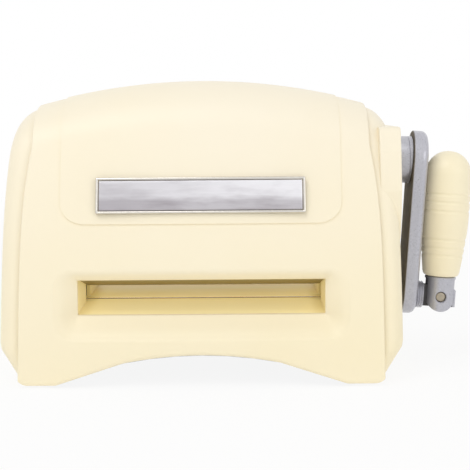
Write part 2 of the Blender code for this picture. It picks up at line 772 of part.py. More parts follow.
def pad_outline(inset):
    """Outline of the crank pad, moved in by inset."""
    foot = PAD_CORNERS[0][0] + inset
    top = PAD_CORNERS[-1][0] - inset
    edge = [(half - inset, CRANK_Z + min(max(rise, foot), top)) for rise, half in PAD_CORNERS]
    return rounded(edge + [(-y, z) for y, z in reversed(edge)], PAD_CORNER - inset)


def make_side_covers():
    for name, side in (("left_side_cover", -1), ("right_side_cover", 1)):
        cover = cover_solid(name, side, -COVER_STEP, 0, COVER_RIM_X, FOOT_PROUD, CREAM)
        hollow = cover_solid(name + "_hollow", side, -COVER_STEP - WALL, WALL, COVER_RIM_X - OVERRUN,
                             FOOT_PROUD + WALL)
        if side > 0:
            depth = PAD_FACE_X - PAD_ROOT_X
            pad = as_mesh(flat_piece("crank_pad", [pad_outline(0)], depth, None, root,
                                     (PAD_ROOT_X + depth / 2, 0, 0), IN_YZ))
            room = as_mesh(flat_piece("crank_pad_hollow", [pad_outline(WALL)], depth, None, root,
                                      (PAD_ROOT_X + depth / 2 - WALL, 0, 0), IN_YZ))
            join(cover, pad)
            join(hollow, room)
        cut(cover, hollow)
        if side > 0:
            hole = SHAFT_RADIUS + GAP + BUSH_WALL + GAP
            cut(cover, turned("crank_hole", rod_outline([(0, hole), (COVER_HALF_WIDTH, hole)]), None, root,
                              (PAD_ROOT_X, 0, CRANK_Z), ALONG_X, steps=24))
        hole = FOOT_STEM_RADIUS + GAP
        for y in (-FOOT_Y, FOOT_Y):
            cut(cover, turned(f"{name}_foot_hole_{y:+.3f}", rod_outline([(-OVERRUN, hole), (OVERRUN, hole)]),
                              None, root, (side * FOOT_X, y, 0), steps=16))


def make_base_pan():
    """A pressed pan that closes the arch between the side covers."""
    arc_steps = 3
    right = [ARCH_KNEE_X * step / arc_steps for step in range(arc_steps + 1)]
    right += [FOOT_INNER_X, COVER_RIM_X - GAP]
    spans = [-x for x in reversed(right[1:])] + right
    under = [(x, pan_bottom(x)) for x in spans]
    over = [(x, height + PAN_THICKNESS) for x, height in reversed(under)]
    flat_piece("base_pan", [under + over], 2 * PAN_HALF_DEPTH, FRAME_STEEL, root, rotation=IN_XZ)


def make_feet():
    for side_name, side in (("front", -1), ("rear", 1)):
        for hand_name, hand in (("left", -1), ("right", 1)):
            top = FOOT_PROUD - GAP
            outline = rod_outline([(0, FOOT_RADIUS), (top, FOOT_RADIUS), (top, FOOT_STEM_RADIUS),
                                   (FOOT_STEM_LENGTH, FOOT_STEM_RADIUS)])
            turned(f"foot_{side_name}_{hand_name}", outline, RUBBER, root,
                   (hand * FOOT_X, side * FOOT_Y, 0), steps=16)


def make_nameplate():
    """A chrome frame with a face set in it, laid on the slope of the top cover."""
    low = face_point(PLATE_CENTRE_HEIGHT - PLATE_HEIGHT / 2)
    high = face_point(PLATE_CENTRE_HEIGHT + PLATE_HEIGHT / 2)
    lean = math.atan2(low.x - high.x, high.y - low.y)
    middle = face_point(PLATE_CENTRE_HEIGHT)
    out = middle.x + (PANEL_RAISE + GAP) / math.cos(lean)
    holder = guide("nameplate_place", root, (0, -out, PLATE_CENTRE_HEIGHT), (math.pi / 2 - lean, 0, 0))
    half_width = PLATE_WIDTH / 2
    half_height = PLATE_HEIGHT / 2
    frame = block("nameplate_frame", (-half_width, -half_height, 0),
                  (half_width, half_height, PLATE_THICKNESS), CHROME, holder)
    inner_width = half_width - PLATE_RIM
    inner_height = half_height - PLATE_RIM
    window = block("nameplate_window", (-inner_width, -inner_height, -OVERRUN),
                   (inner_width, inner_height, OVERRUN), None, holder)
    bevel(frame, PLATE_RIM / 3, 1)
    cut(frame, window)
    face = PLATE_THICKNESS + PLATE_INSERT_RISE
    insert = block("nameplate_insert", (GAP - inner_width, GAP - inner_height, 0),
                   (inner_width - GAP, inner_height - GAP, face), PLATE_FACE, holder)
    bevel(insert, PLATE_INSERT_RISE, 2)


# Feed path

def beside_roller(height, axis_height):
    """How far from the middle plane a piece stays clear of a roller at a height."""
    return math.sqrt((ROLLER_RADIUS + GAP) ** 2 - (height - axis_height) ** 2) + 2 * GAP


def make_decks():
    """Each deck runs from its roller to the slot mouth, with a wall at each side and a lip."""
    outer = MOUTH_DEPTH - WALL - GAP
    lip = outer - DECK_THICKNESS
    inner_top = DECK_ROLLER_HEIGHT
    inner_bottom = inner_top - DECK_THICKNESS
    roller_side = [(beside_roller(inner_top, LOWER_ROLLER_Z), inner_top),
                   (beside_roller(inner_bottom, LOWER_ROLLER_Z), inner_bottom)]
    ends = (("front_feed_deck", -1, SLOT_BOTTOM - DECK_DROP), ("rear_feed_deck", 1, inner_top))
    for name, side, top in ends:
        foot = top - DECK_LIP
        outline = roller_side + [(lip, top - DECK_THICKNESS), (lip, foot), (outer, foot), (outer, top)]
        outline = [(side * y, z) for y, z in outline]
        deck = as_mesh(flat_piece(name, [outline], 2 * DECK_HALF_WIDTH, CREAM_DECK, root, rotation=IN_YZ))
        low = foot + DECK_LIP / 2
        wall = [(CHEEK_START, inner_top - DECK_THICKNESS / 2), (lip, top - DECK_THICKNESS / 2), (lip, low),
                (outer - GAP, low), (outer - GAP, SLOT_TOP), (CHEEK_START, SLOT_TOP)]
        wall = [(side * y, z) for y, z in wall]
        for hand_name, hand in (("left", -1), ("right", 1)):
            middle = hand * (CHEEK_X + CHEEK_THICKNESS / 2)
            join(deck, as_mesh(flat_piece(f"{name}_{hand_name}_wall", [wall], CHEEK_THICKNESS, None, root,
                                          (middle, 0, 0), IN_YZ)))


def make_guides():
    """Each guide slopes from the slot's upper edge to the height of the nip."""
    outer = MOUTH_DEPTH - WALL - GAP
    low = UPPER_ROLLER_Z - ROLLER_RADIUS
    inner = beside_roller(low + GUIDE_THICKNESS, UPPER_ROLLER_Z)
    for name, side in (("front_feed_guide", -1), ("rear_feed_guide", 1)):
        outline = [(inner, low), (outer, SLOT_TOP + GAP), (outer, SLOT_TOP + GUIDE_LIP),
                   (outer - GUIDE_THICKNESS, SLOT_TOP + GUIDE_LIP),
                   (outer - GUIDE_THICKNESS, SLOT_TOP + GUIDE_THICKNESS),
                   (inner, low + GUIDE_THICKNESS)]
        flat_piece(name, [[(side * y, z) for y, z in outline]], 2 * GUIDE_HALF_WIDTH, CREAM_DECK, root,
                   rotation=IN_YZ)


# Frame

ROD_PLACES = (("front_low", -ROD_LOW_Y, ROD_LOW_Z), ("rear_low", ROD_LOW_Y, ROD_LOW_Z),
              ("front_high", -ROD_HIGH_Y, ROD_HIGH_Z), ("rear_high", ROD_HIGH_Y, ROD_HIGH_Z))


def make_frame_plates():
    foot = pan_bottom(FRAME_INNER_X) + PAN_THICKNESS + GAP
    rear_edge = [(FRAME_HALF_DEPTH, foot), (FRAME_HALF_DEPTH, FRAME_KNEE_HEIGHT),
                 (FRAME_TOP_HALF_DEPTH, FRAME_TOP)]
    front_edge = [(-y, z) for y, z in reversed(rear_edge)]
    outline = rounded(rear_edge + front_edge, FRAME_CORNER)
    roller_hole = JOURNAL_RADIUS + GAP + BUSH_WALL + GAP
    crank_hole = SHAFT_RADIUS + GAP + BUSH_WALL + GAP
    holes = [circle((0, LOWER_ROLLER_Z), roller_hole), circle((0, UPPER_ROLLER_Z), roller_hole)]
    holes += [circle((y, z), ROD_SCREW_RADIUS + GAP, 12) for _, y, z in ROD_PLACES]
    for name, side in (("left_frame_plate", -1), ("right_frame_plate", 1)):
        cuts = holes + [circle((0, CRANK_Z), crank_hole)] if side > 0 else holes
        flat_piece(name, [outline] + cuts, FRAME_THICKNESS, FRAME_STEEL, root,
                   (side * (FRAME_INNER_X + FRAME_THICKNESS / 2), 0, 0), IN_YZ)


def make_tie_rods():
    half = FRAME_INNER_X - GAP
    for name, y, z in ROD_PLACES:
        outline = sleeve_outline([(-half, ROD_RADIUS), (half, ROD_RADIUS)], ROD_SCREW_RADIUS + GAP)
        turned(f"tie_rod_{name}", outline, STEEL, root, (0, y, z), ALONG_X, steps=16, ring=True)
        seat = FRAME_OUTER_X + GAP
        for hand_name, hand in (("left", -1), ("right", 1)):
            outline = rod_outline([(seat - ROD_SCREW_LENGTH, ROD_SCREW_RADIUS), (seat, ROD_SCREW_RADIUS),
                                   (seat, ROD_SCREW_HEAD_RADIUS),
                                   (seat + ROD_SCREW_HEAD_HEIGHT, ROD_SCREW_HEAD_RADIUS)])
            turned(f"tie_rod_screw_{name}_{hand_name}", outline, STEEL, root, (0, y, z),
                   (0, hand * math.pi / 2, 0), steps=12)


# Rollers, bushes and gears

def bush(name, radius, z, side, parent):
    """A flanged bush in a frame plate, its flange inside."""
    outer = radius + GAP + BUSH_WALL
    flange = outer + BUSH_FLANGE
    inside = FRAME_INNER_X - GAP
    outline = sleeve_outline([(inside - BUSH_FLANGE_THICKNESS, flange), (inside, flange), (inside, outer),
                              (BUSH_END_X, outer)], radius + GAP)
    turned(name, outline, BRONZE, parent, (0, 0, z), (0, side * math.pi / 2, 0), ring=True, steps=16)


def clip(name, radius, start, parent, side=1):
    outline = sleeve_outline([(start, radius + CLIP_WIDTH), (start + CLIP_THICKNESS, radius + CLIP_WIDTH)],
                             radius + GAP)
    turned(name, outline, STEEL, parent, rotation=(0, side * math.pi / 2, 0), ring=True, steps=16)


def make_rollers():
    left_clip = BUSH_END_X + GAP
    left_end = left_clip + CLIP_THICKNESS + CLIP_END
    right_clip = DRIVE_END_X + GAP
    lower_end = DRIVE_GEAR_X - 2 * GAP
    upper_end = right_clip + CLIP_THICKNESS + CLIP_END
    rollers = (("lower_roller", LOWER_ROLLER_Z, lower_end), ("upper_roller", UPPER_ROLLER_Z, upper_end))
    for name, z, end in rollers:
        axis = guide(name + "_axis", root, (0, 0, z))
        outline = rod_outline([(-left_end, JOURNAL_RADIUS), (-ROLLER_HALF_LENGTH, JOURNAL_RADIUS),
                               (-ROLLER_HALF_LENGTH, ROLLER_RADIUS), (ROLLER_HALF_LENGTH, ROLLER_RADIUS),
                               (ROLLER_HALF_LENGTH, JOURNAL_RADIUS), (BUSH_END_X, JOURNAL_RADIUS),
                               (BUSH_END_X, GEAR_SEAT_RADIUS), (end, GEAR_SEAT_RADIUS)])
        turned(name, outline, STEEL, axis, rotation=ALONG_X, steps=32)
        clip(name + "_left_clip", JOURNAL_RADIUS, left_clip, axis, -1)
        first_tooth = math.pi / 2
        if z > LOWER_ROLLER_Z:
            first_tooth = -math.pi / 2 + math.pi / ROLLER_GEAR_TEETH
            clip(name + "_right_clip", GEAR_SEAT_RADIUS, right_clip, axis)
            gear("drive_gear", DRIVE_GEAR_TEETH, DRIVE_MODULE, math.pi / 2, GEAR_SEAT_RADIUS, DRIVE_GEAR_X,
                 axis)
        gear(name + "_gear", ROLLER_GEAR_TEETH, ROLLER_GEAR_MODULE, first_tooth, GEAR_SEAT_RADIUS,
             ROLLER_GEAR_X, axis)
        for hand_name, hand in (("left", -1), ("right", 1)):
            bush(f"{name}_{hand_name}_bush", JOURNAL_RADIUS, z, hand, root)


def gear(name, teeth, module, first_tooth, bore, start, parent):
    flank_steps = 1 if teeth > 2 * ROLLER_GEAR_TEETH else 2
    outlines = [gear_outline(teeth, module, first_tooth, flank_steps), circle((0, 0), bore + GAP, 20)]
    flat_piece(name, outlines, GEAR_WIDTH, GEAR_PLASTIC, parent, (start + GEAR_WIDTH / 2, 0, 0), IN_YZ)


# Crank and folding handle

def make_crank_shaft():
    clip_start = FRAME_INNER_X - GAP - BUSH_FLANGE_THICKNESS - GAP - CLIP_THICKNESS
    left = clip_start - CLIP_END
    right = ARM_INNER_X - HUB_RADIUS * math.tan(CRANK_LEAN)
    bore = (SHAFT_BORE_DEPTH, SHAFT_BORE_RADIUS)
    outline = rod_outline([(left, SHAFT_RADIUS), (right, SHAFT_RADIUS)], bore)
    turned("crank_shaft", outline, STEEL, crank_axis, rotation=ALONG_X, steps=20)
    clip("crank_shaft_clip", SHAFT_RADIUS, clip_start, crank_axis)
    gear("crank_pinion", PINION_TEETH, DRIVE_MODULE, -math.pi / 2 + math.pi / PINION_TEETH, SHAFT_RADIUS,
         DRIVE_GEAR_X, crank_axis)
    bush("crank_shaft_inner_bush", SHAFT_RADIUS, CRANK_Z, 1, root)
    outer = SHAFT_RADIUS + GAP + BUSH_WALL
    wall_inside = PAD_FACE_X - WALL - GAP
    outline = sleeve_outline([(wall_inside - BUSH_FLANGE - BUSH_FLANGE_THICKNESS, outer),
                              (wall_inside - BUSH_FLANGE_THICKNESS, outer),
                              (wall_inside - BUSH_FLANGE_THICKNESS, outer + BUSH_FLANGE),
                              (wall_inside, outer + BUSH_FLANGE), (wall_inside, outer), (PAD_FACE_X, outer)],
                             SHAFT_RADIUS + GAP)
    turned("crank_shaft_outer_bush", outline, BRONZE, root, (0, 0, CRANK_Z), ALONG_X, ring=True, steps=16)


def make_hub():
    """The hub fills the space from the pad to the leaning inner face of the arm."""
    start = PAD_FACE_X + GAP
    end = ARM_INNER_X + OVERRUN
    outline = sleeve_outline([(start, HUB_RADIUS - HUB_BEVEL), (start + HUB_BEVEL, HUB_RADIUS),
                              (end, HUB_RADIUS)], SHAFT_RADIUS + GAP)
    hub = turned("crank_hub", outline, SILVER, crank_axis, rotation=ALONG_X, ring=True, steps=32)
    half = 2 * HUB_RADIUS
    cut(hub, block("hub_end", (-half, -half, -GAP), (half, half, half), None, arm_frame))


def arm_thickness(along):
    return ARM_TOP_THICKNESS + (ARM_LOW_THICKNESS - ARM_TOP_THICKNESS) * along / ARM_LENGTH


def arm_outline(inset):
    taper = math.degrees(math.asin((ARM_BIG_RADIUS - ARM_SMALL_RADIUS) / ARM_LOW_CENTRE))
    outline = arc((0, 0), ARM_BIG_RADIUS - inset, 90 - taper, 270 + taper, 14)
    return outline + arc((ARM_LOW_CENTRE, 0), ARM_SMALL_RADIUS - inset, taper - 90, 90 - taper, 10)


def make_arm():
    """A flat bar with two round ends and well rounded outer edges, a little thinner towards the handle."""
    form = bmesh.new()
    rings = []
    for inset, height in ((ARM_INNER_ROUND, 0), (0, ARM_INNER_ROUND)):
        rings.append([form.verts.new((along, across, height)) for along, across in arm_outline(inset)])
    steps = 3
    for step in range(steps + 1):
        angle = math.pi / 2 * step / steps
        fall = ARM_OUTER_ROUND * (1 - math.sin(angle))
        outline = arm_outline(ARM_OUTER_ROUND * (1 - math.cos(angle)))
        ring = [(along, across, arm_thickness(along) - fall) for along, across in outline]
        rings.append([form.verts.new(point) for point in ring])
    for low, high in zip(rings, rings[1:]):
        for index in range(len(low)):
            after = (index + 1) % len(low)
            form.faces.new((low[index], low[after], high[after], high[index]))
    form.faces.new(rings[0])
    form.faces.new(rings[-1])
    arm = mesh_object("crank_arm", form, SILVER, arm_frame)
    head = ARM_SCREW_HEAD_RADIUS + GAP
    seat = ARM_TOP_THICKNESS - ARM_SCREW_HEAD_HEIGHT
    hole = ARM_SCREW_RADIUS + GAP
    outline = rod_outline([(-OVERRUN, hole), (seat, hole), (seat, head), (ARM_TOP_THICKNESS + OVERRUN, head)])
    cut(arm, turned("arm_screw_hole", outline, None, arm_frame, steps=20))
    spigot = SPIGOT_RADIUS + GAP
    outline = rod_outline([(-OVERRUN, spigot), (ARM_LOW_THICKNESS + OVERRUN, spigot)])
    cut(arm, turned("arm_spigot_hole", outline, None, arm_frame, (ARM_LENGTH, 0, 0), steps=20))
    outline = rod_outline([(seat + GAP - ARM_SCREW_LENGTH, ARM_SCREW_RADIUS), (seat + GAP, ARM_SCREW_RADIUS),
                           (seat + GAP, ARM_SCREW_HEAD_RADIUS), (ARM_TOP_THICKNESS, ARM_SCREW_HEAD_RADIUS)])
    turned("crank_screw", outline, STEEL, arm_frame, steps=20)


def make_knuckle():
    """A grooved boss with a spigot in the arm, and a tongue that carries the folding pin."""
    start = arm_thickness(ARM_LENGTH - KNUCKLE_RADIUS) + GAP
    end = start + KNUCKLE_LENGTH
    low = KNUCKLE_RADIUS - KNUCKLE_GROOVE
    stations = [(0, SPIGOT_RADIUS), (start, SPIGOT_RADIUS)]
    lands = 3
    land = KNUCKLE_LENGTH / (2 * lands - 1)
    for index in range(lands):
        at = start + 2 * index * land
        stations += [(at, KNUCKLE_RADIUS), (at + land, KNUCKLE_RADIUS)]
        if index < lands - 1:
            stations += [(at + land, low), (at + 2 * land, low)]
    knuckle = turned("handle_knuckle", rod_outline(stations), SILVER, arm_frame, (ARM_LENGTH, 0, 0), steps=20)
    foot = end - land / 2
    tip = KNUCKLE_REACH + TONGUE_BEYOND_PIN
    outline = [(-TONGUE_HALF_HEIGHT, foot), (TONGUE_HALF_HEIGHT, foot), (TONGUE_HALF_HEIGHT, tip),
               (TONGUE_CHAMFER - TONGUE_HALF_HEIGHT, tip), (-TONGUE_HALF_HEIGHT, tip - TONGUE_CHAMFER)]
    tongue = flat_piece("tongue", [outline], 2 * TONGUE_HALF_THICKNESS, None, arm_frame, (ARM_LENGTH, 0, 0),
                        IN_XZ)
    join(knuckle, as_mesh(tongue))
    hole = PIN_RADIUS + GAP
    outline = rod_outline([(-FORK_RADIUS, hole), (FORK_RADIUS, hole)])
    cut(knuckle, turned("tongue_hole", outline, None, fold_axis, rotation=IN_XZ, steps=20))
    half = FORK_HALF_THICKNESS - PIN_RECESS
    outline = rod_outline([(-half, PIN_RADIUS), (half, PIN_RADIUS)])
    turned("fold_pin", outline, STEEL, fold_axis, rotation=IN_XZ, steps=20)


def make_fork():
    """A round block with flats, a slot for the tongue and a rounded lower end."""
    outline = rod_outline([(-FORK_END_RADIUS - OVERRUN, FORK_RADIUS), (FORK_BRIDGE_HIGH, FORK_RADIUS)])
    fork = turned("handle_fork", outline, SILVER, handle_frame, steps=28)
    sides = FORK_RADIUS + OVERRUN
    outline = arc((-FORK_OFFSET, 0), FORK_END_RADIUS, 180, 360, 14)
    outline += [(sides, FORK_BRIDGE_LOW), (sides, FORK_BRIDGE_HIGH + OVERRUN),
                (-sides, FORK_BRIDGE_HIGH + OVERRUN), (-sides, FORK_BRIDGE_LOW)]
    form = flat_piece("fork_form", [outline], 2 * FORK_HALF_THICKNESS, None, handle_frame, rotation=IN_XZ)
    boolean(fork, as_mesh(form), "INTERSECT")
    tongue_room = TONGUE_HALF_THICKNESS + GAP
    cut(fork, block("fork_slot", (-2 * FORK_RADIUS, -tongue_room, -2 * FORK_RADIUS),
                    (2 * FORK_RADIUS, tongue_room, FORK_BRIDGE_LOW), None, handle_frame))
    wide = PIN_RADIUS + PIN_COUNTERBORE
    narrow = PIN_RADIUS + GAP
    edge = FORK_HALF_THICKNESS - PIN_COUNTERBORE_DEPTH
    outline = rod_outline([(-FORK_RADIUS, wide), (-edge, wide), (-edge, narrow), (edge, narrow), (edge, wide),
                           (FORK_RADIUS, wide)])
    cut(fork, turned("fork_hole", outline, None, fold_axis, rotation=IN_XZ, steps=20))
    hole = SPINDLE_RADIUS + GAP
    outline = rod_outline([(0, hole), (GRIP_TOP, hole)])
    cut(fork, turned("spindle_hole", outline, None, handle_frame, steps=20))


def spindle_stations(grow):
    """The spindle, or with grow its bore: a plain rod with a snap ring near its top."""
    top = GRIP_TOP - GRIP_WALL_TOP + grow
    ring_low = top - 2 * SPINDLE_SNAP_LENGTH - grow
    plain = SPINDLE_RADIUS + grow
    snap = plain + SPINDLE_SNAP_RISE
    ring_high = ring_low + SPINDLE_SNAP_LENGTH
    return [(ring_low, plain), (ring_low + SPINDLE_SNAP_RISE, snap), (ring_high, snap),
            (ring_high + SPINDLE_SNAP_RISE, plain), (top, plain)]


def make_spindle():
    low = FORK_BRIDGE_LOW + GAP
    outline = rod_outline([(low, SPINDLE_RADIUS)] + spindle_stations(0))
    turned("grip_spindle", outline, STEEL, handle_frame, steps=20)


def grip_radius(share):
    """Radius of the grip's barrel at a share of its length."""
    for (low, low_radius), (high, high_radius) in zip(GRIP_BARREL, GRIP_BARREL[1:]):
        if share <= high:
            return low_radius + (high_radius - low_radius) * (share - low) / (high - low)


def make_grip():
    """A swelling barrel with a domed top, two sets of grooves and a blind bore."""
    stations = []
    rim_steps = 3
    for step in range(rim_steps + 1):
        angle = math.pi / 2 * step / rim_steps
        stations.append((GRIP_START + GRIP_RIM_ROUND * (1 - math.cos(angle)),
                         GRIP_LOW_RADIUS - GRIP_RIM_ROUND * (1 - math.sin(angle))))
    places = [share for share, _ in GRIP_BARREL] + list(GRIP_GROOVES)
    for share in sorted(places):
        at = GRIP_START + GRIP_LENGTH * share
        radius = grip_radius(share)
        if share in GRIP_GROOVES:
            half = GRIP_GROOVE_WIDTH / 2
            stations += [(at - half, radius), (at, radius - GRIP_GROOVE_DEPTH), (at + half, radius)]
        else:
            stations.append((at, radius))
    steps = 5
    for step in range(steps):
        angle = math.pi / 2 * step / steps
        stations.append((GRIP_WIDEST + GRIP_DOME_HEIGHT * math.sin(angle),
                         GRIP_SHOULDER_RADIUS * math.cos(angle)))
    outline = [(0, GRIP_TOP)] + [(radius, height) for height, radius in reversed(stations)]
    bore = [(GRIP_START, SPINDLE_RADIUS + GAP)] + spindle_stations(GAP)
    outline += [(radius, height) for height, radius in bore] + [(0, bore[-1][0])]
    turned("grip", outline, CREAM, handle_frame, steps=24)


root = guide("machine_frame", None, (-FRAME_SHIFT, 0, 0))
crank_axis = guide("crank_axis", root, (0, 0, CRANK_Z))
# On the arm, +X runs down the arm, +Y towards the rear and +Z out of it
arm_frame = guide("arm_frame", crank_axis, (ARM_INNER_X, 0, 0), (0, math.pi / 2 + CRANK_LEAN, 0))
# On the handle, +Z runs up the grip from the folding pin and +X points away from the machine
fold_axis = guide("fold_axis", root, PIN_PLACE, (0, CRANK_LEAN, 0))
handle_frame = guide("handle_frame", fold_axis, (FORK_OFFSET, 0, 0))

make_shells()
make_top_cover()
make_side_covers()
make_base_pan()
make_feet()
make_nameplate()
make_decks()
make_guides()
make_frame_plates()
make_tie_rods()
make_rollers()
make_crank_shaft()
make_hub()
make_arm()
make_knuckle()
make_fork()
make_spindle()
make_grip()
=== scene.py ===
# Looks of the hand cranked die cutting machine: smooth moulded housing, painted crank,
# steel works and a plain studio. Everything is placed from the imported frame, in metres.

import json
import math

import bmesh
import bpy
from mathutils import Matrix, Vector


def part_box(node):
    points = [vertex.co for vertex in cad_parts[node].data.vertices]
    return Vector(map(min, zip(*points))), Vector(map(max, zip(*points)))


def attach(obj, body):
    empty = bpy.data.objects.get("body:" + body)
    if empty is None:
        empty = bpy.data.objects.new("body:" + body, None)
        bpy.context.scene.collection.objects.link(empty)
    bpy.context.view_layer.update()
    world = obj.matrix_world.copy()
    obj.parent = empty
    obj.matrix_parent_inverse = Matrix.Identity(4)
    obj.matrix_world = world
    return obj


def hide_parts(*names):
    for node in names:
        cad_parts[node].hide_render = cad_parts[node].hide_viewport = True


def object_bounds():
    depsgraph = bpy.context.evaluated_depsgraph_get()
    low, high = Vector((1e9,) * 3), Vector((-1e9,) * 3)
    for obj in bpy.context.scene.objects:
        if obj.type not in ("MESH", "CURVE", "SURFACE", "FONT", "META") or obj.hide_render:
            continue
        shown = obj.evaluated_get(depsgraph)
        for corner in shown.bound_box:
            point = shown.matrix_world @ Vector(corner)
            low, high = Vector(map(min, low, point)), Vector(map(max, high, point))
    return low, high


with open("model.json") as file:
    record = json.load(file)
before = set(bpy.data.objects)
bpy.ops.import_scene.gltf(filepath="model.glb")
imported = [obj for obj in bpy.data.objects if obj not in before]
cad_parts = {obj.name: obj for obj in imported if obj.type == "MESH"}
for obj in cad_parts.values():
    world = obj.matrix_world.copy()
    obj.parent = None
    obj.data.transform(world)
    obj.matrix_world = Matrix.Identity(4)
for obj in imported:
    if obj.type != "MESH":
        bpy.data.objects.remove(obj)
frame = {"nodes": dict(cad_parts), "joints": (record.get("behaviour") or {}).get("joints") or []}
cadBox = [list(corner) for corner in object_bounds()]
mm = 0.001
far = 30 * mm  # further than any cut has to reach


def middle(node):
    low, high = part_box(node)
    return (low + high) / 2


joints = {joint["name"]: joint for joint in frame["joints"]}
midX = middle("base_pan").x
crankZ = joints["crank_turn"]["pos_m"][2]
foldPin = Vector(joints["handle_fold"]["pos_m"])
gripAxis = Vector(joints["grip_spin"]["axis"])
lean = math.atan2(gripAxis.x, gripAxis.z)  # crank and handle lean out at the top
print("frame loaded, crank axis at", round(crankZ, 4))


class Value:
    # a shader socket that does maths

    def __init__(self, tree, socket):
        self.tree = tree
        self.socket = socket

    def maths(self, operation, first, second):
        node = self.tree.nodes.new("ShaderNodeMath")
        node.operation = operation
        plug(self.tree, node.inputs[0], first)
        plug(self.tree, node.inputs[1], second)
        return Value(self.tree, node.outputs[0])

    def __add__(self, other):
        return self.maths("ADD", self, other)

    def __sub__(self, other):
        return self.maths("SUBTRACT", self, other)

    def __rsub__(self, other):
        return self.maths("SUBTRACT", other, self)

    def __mul__(self, other):
        return self.maths("MULTIPLY", self, other)

    __radd__ = __add__
    __rmul__ = __mul__


def plug(tree, target, item):
    # links a socket or sets a constant
    if isinstance(item, Value):
        tree.links.new(item.socket, target)
    elif isinstance(item, tuple) and len(item) == 3 and len(target.default_value) == 4:
        target.default_value = (*item, 1)
    else:
        target.default_value = item


class Shader:
    # the nodes of one material or world

    def __init__(self, owner):
        owner.use_nodes = True
        self.tree = owner.node_tree
        self.tree.nodes.clear()

    def output(self, kind, value):
        self.tree.links.new(value.socket, self.tree.nodes.new(kind).inputs[0])

    def node(self, kind, settings=None, sockets=None, out=0):
        node = self.tree.nodes.new(kind)
        for key, value in (settings or {}).items():
            if key == "stops":
                ramp = node.color_ramp.elements
                while len(ramp) < len(value):
                    ramp.new(0.5)
                for element, (place, colour) in zip(ramp, value):
                    element.position = place
                    element.color = (*colour, 1)
            else:
                setattr(node, key, value)
        for key, value in (sockets or {}).items():
            plug(self.tree, node.inputs[key], value)
        return Value(self.tree, node.outputs[out])

    def place(self, stretch=(1, 1, 1)):
        # object coordinates in metres, stretched
        where = self.node("ShaderNodeTexCoord", out="Object")
        return self.node("ShaderNodeVectorMath", {"operation": "MULTIPLY"}, {0: where, 1: stretch})

    def axis(self, name):
        return self.node("ShaderNodeSeparateXYZ", {}, {"Vector": self.place()}, name)

    def noise(self, scale, detail=2, stretch=(1, 1, 1), roughness=0.5):
        return self.node("ShaderNodeTexNoise", {}, {"Vector": self.place(stretch), "Scale": scale,
                         "Detail": detail, "Roughness": roughness})

    def cells(self, scale):
        # a grey of its own for each cell
        sockets = {"Vector": self.place(), "Scale": scale}
        colour = self.node("ShaderNodeTexVoronoi", {"feature": "F1"}, sockets, "Color")
        return self.node("ShaderNodeSeparateColor", {}, {"Color": colour})

    def seen(self):
        # 1 for what the camera sees, also by reflection or through glass
        camera, gloss, glass = (self.node("ShaderNodeLightPath", out=f"Is {ray} Ray")
                                for ray in ("Camera", "Glossy", "Transmission"))
        return camera + gloss + glass

    def mix(self, share, first, second):
        return self.node("ShaderNodeMix", {"data_type": "RGBA"}, {0: share, 6: first, 7: second}, out=2)

    def ramp(self, share, low, high):
        return self.node("ShaderNodeMapRange", {}, {"Value": share, "From Min": low, "From Max": high})

    def bump(self, height, distance, strength=1.0):
        return self.node("ShaderNodeBump", {}, {"Height": height, "Distance": distance, "Strength": strength})


def shade(colour):
    # a colour written as 0 to 255, as linear light
    parts = []
    for part in colour:
        part = part / 255
        parts.append(part / 12.92 if part <= 0.04045 else ((part + 0.055) / 1.055) ** 2.4)
    return tuple(parts)


def material(name, build):
    made = bpy.data.materials.new(name)
    s = Shader(made)
    s.output("ShaderNodeOutputMaterial", s.node("ShaderNodeBsdfPrincipled", {}, build(s)))
    return made


# deep is the tone at the foot, where the cream is given painted warm shade
cream = {"colour": (250, 241, 220), "deep": (248, 236, 201), "rough": 0.42, "grain": 0.00003}


def creamFinish(settings):
    def build(s):
        cloud = s.noise(9, 3)  # slow drift of the moulded colour
        speck = s.noise(2600, 2, roughness=0.6)  # spark eroded grain
        flow = s.noise(28, 4, (1, 1, 0.4))  # faint flow marks along the mould
        # painted warm shade: the cream turns deeper and yellower towards the foot, standing in for warm light
        # thrown up from the table
        rise = s.ramp(s.axis("Z"), 0.02, 0.17)
        driftAndPaintedWarmth = s.ramp(cloud, 0.3, 0.7) * 0.25 + (1 - rise) * 0.7  # the tone deepens towards the foot
        tone = s.mix(driftAndPaintedWarmth, shade(settings["colour"]), shade(settings["deep"]))
        rough = settings["rough"] + (flow - 0.5) * 0.10 + (speck - 0.5) * 0.06
        height = speck * 0.7 + flow * 0.3
        return {"Base Color": tone, "Roughness": rough, "IOR": 1.5, "Specular IOR Level": 0.4,
                "Normal": s.bump(height, settings["grain"], 0.6)}
    return build


def deckWithPaintedGlow(s):
    # painted glow: the decks emit warm light, standing in for light in the slot; less of it towards the rear,
    # at the outer end of the front deck and at the side walls
    values = creamFinish({**cream, "colour": (243, 229, 184), "deep": (238, 222, 172), "rough": 0.5})(s)
    depth = s.axis("Y")
    aside = s.axis("X") - midX
    ends = s.ramp(aside * aside, 0.07 ** 2, 0.079 ** 2)
    light = s.mix(s.ramp(depth, -0.03, 0.02), shade((178, 165, 118)), shade((176, 154, 84)))
    share = 1 - s.ramp(depth, 0.0, 0.06) * 0.7 - s.ramp(-1 * depth, 0.05, 0.073) * 0.2
    values["Emission Color"] = s.mix(share * (1 - ends * 0.571), (0.0, 0.0, 0.0), light)
    values["Emission Strength"] = 1.05
    return values


def silverPaint(s):
    flake = s.cells(5200)
    cast = s.noise(420, 3)  # skin of the casting under the paint
    cloud = s.noise(30, 2)
    base = s.mix(flake, shade((163, 163, 171)), shade((203, 203, 211)))
    tone = s.mix(s.ramp(cloud, 0.35, 0.7) * 0.25, base, shade((168, 168, 173)))
    rough = 0.33 + (flake - 0.5) * 0.12 + (cast - 0.5) * 0.08
    return {"Base Color": tone, "Metallic": 0.55, "Roughness": rough, "Coat Weight": 0.25,
            "Coat Roughness": 0.2, "Normal": s.bump(cast, 0.00008, 0.5)}


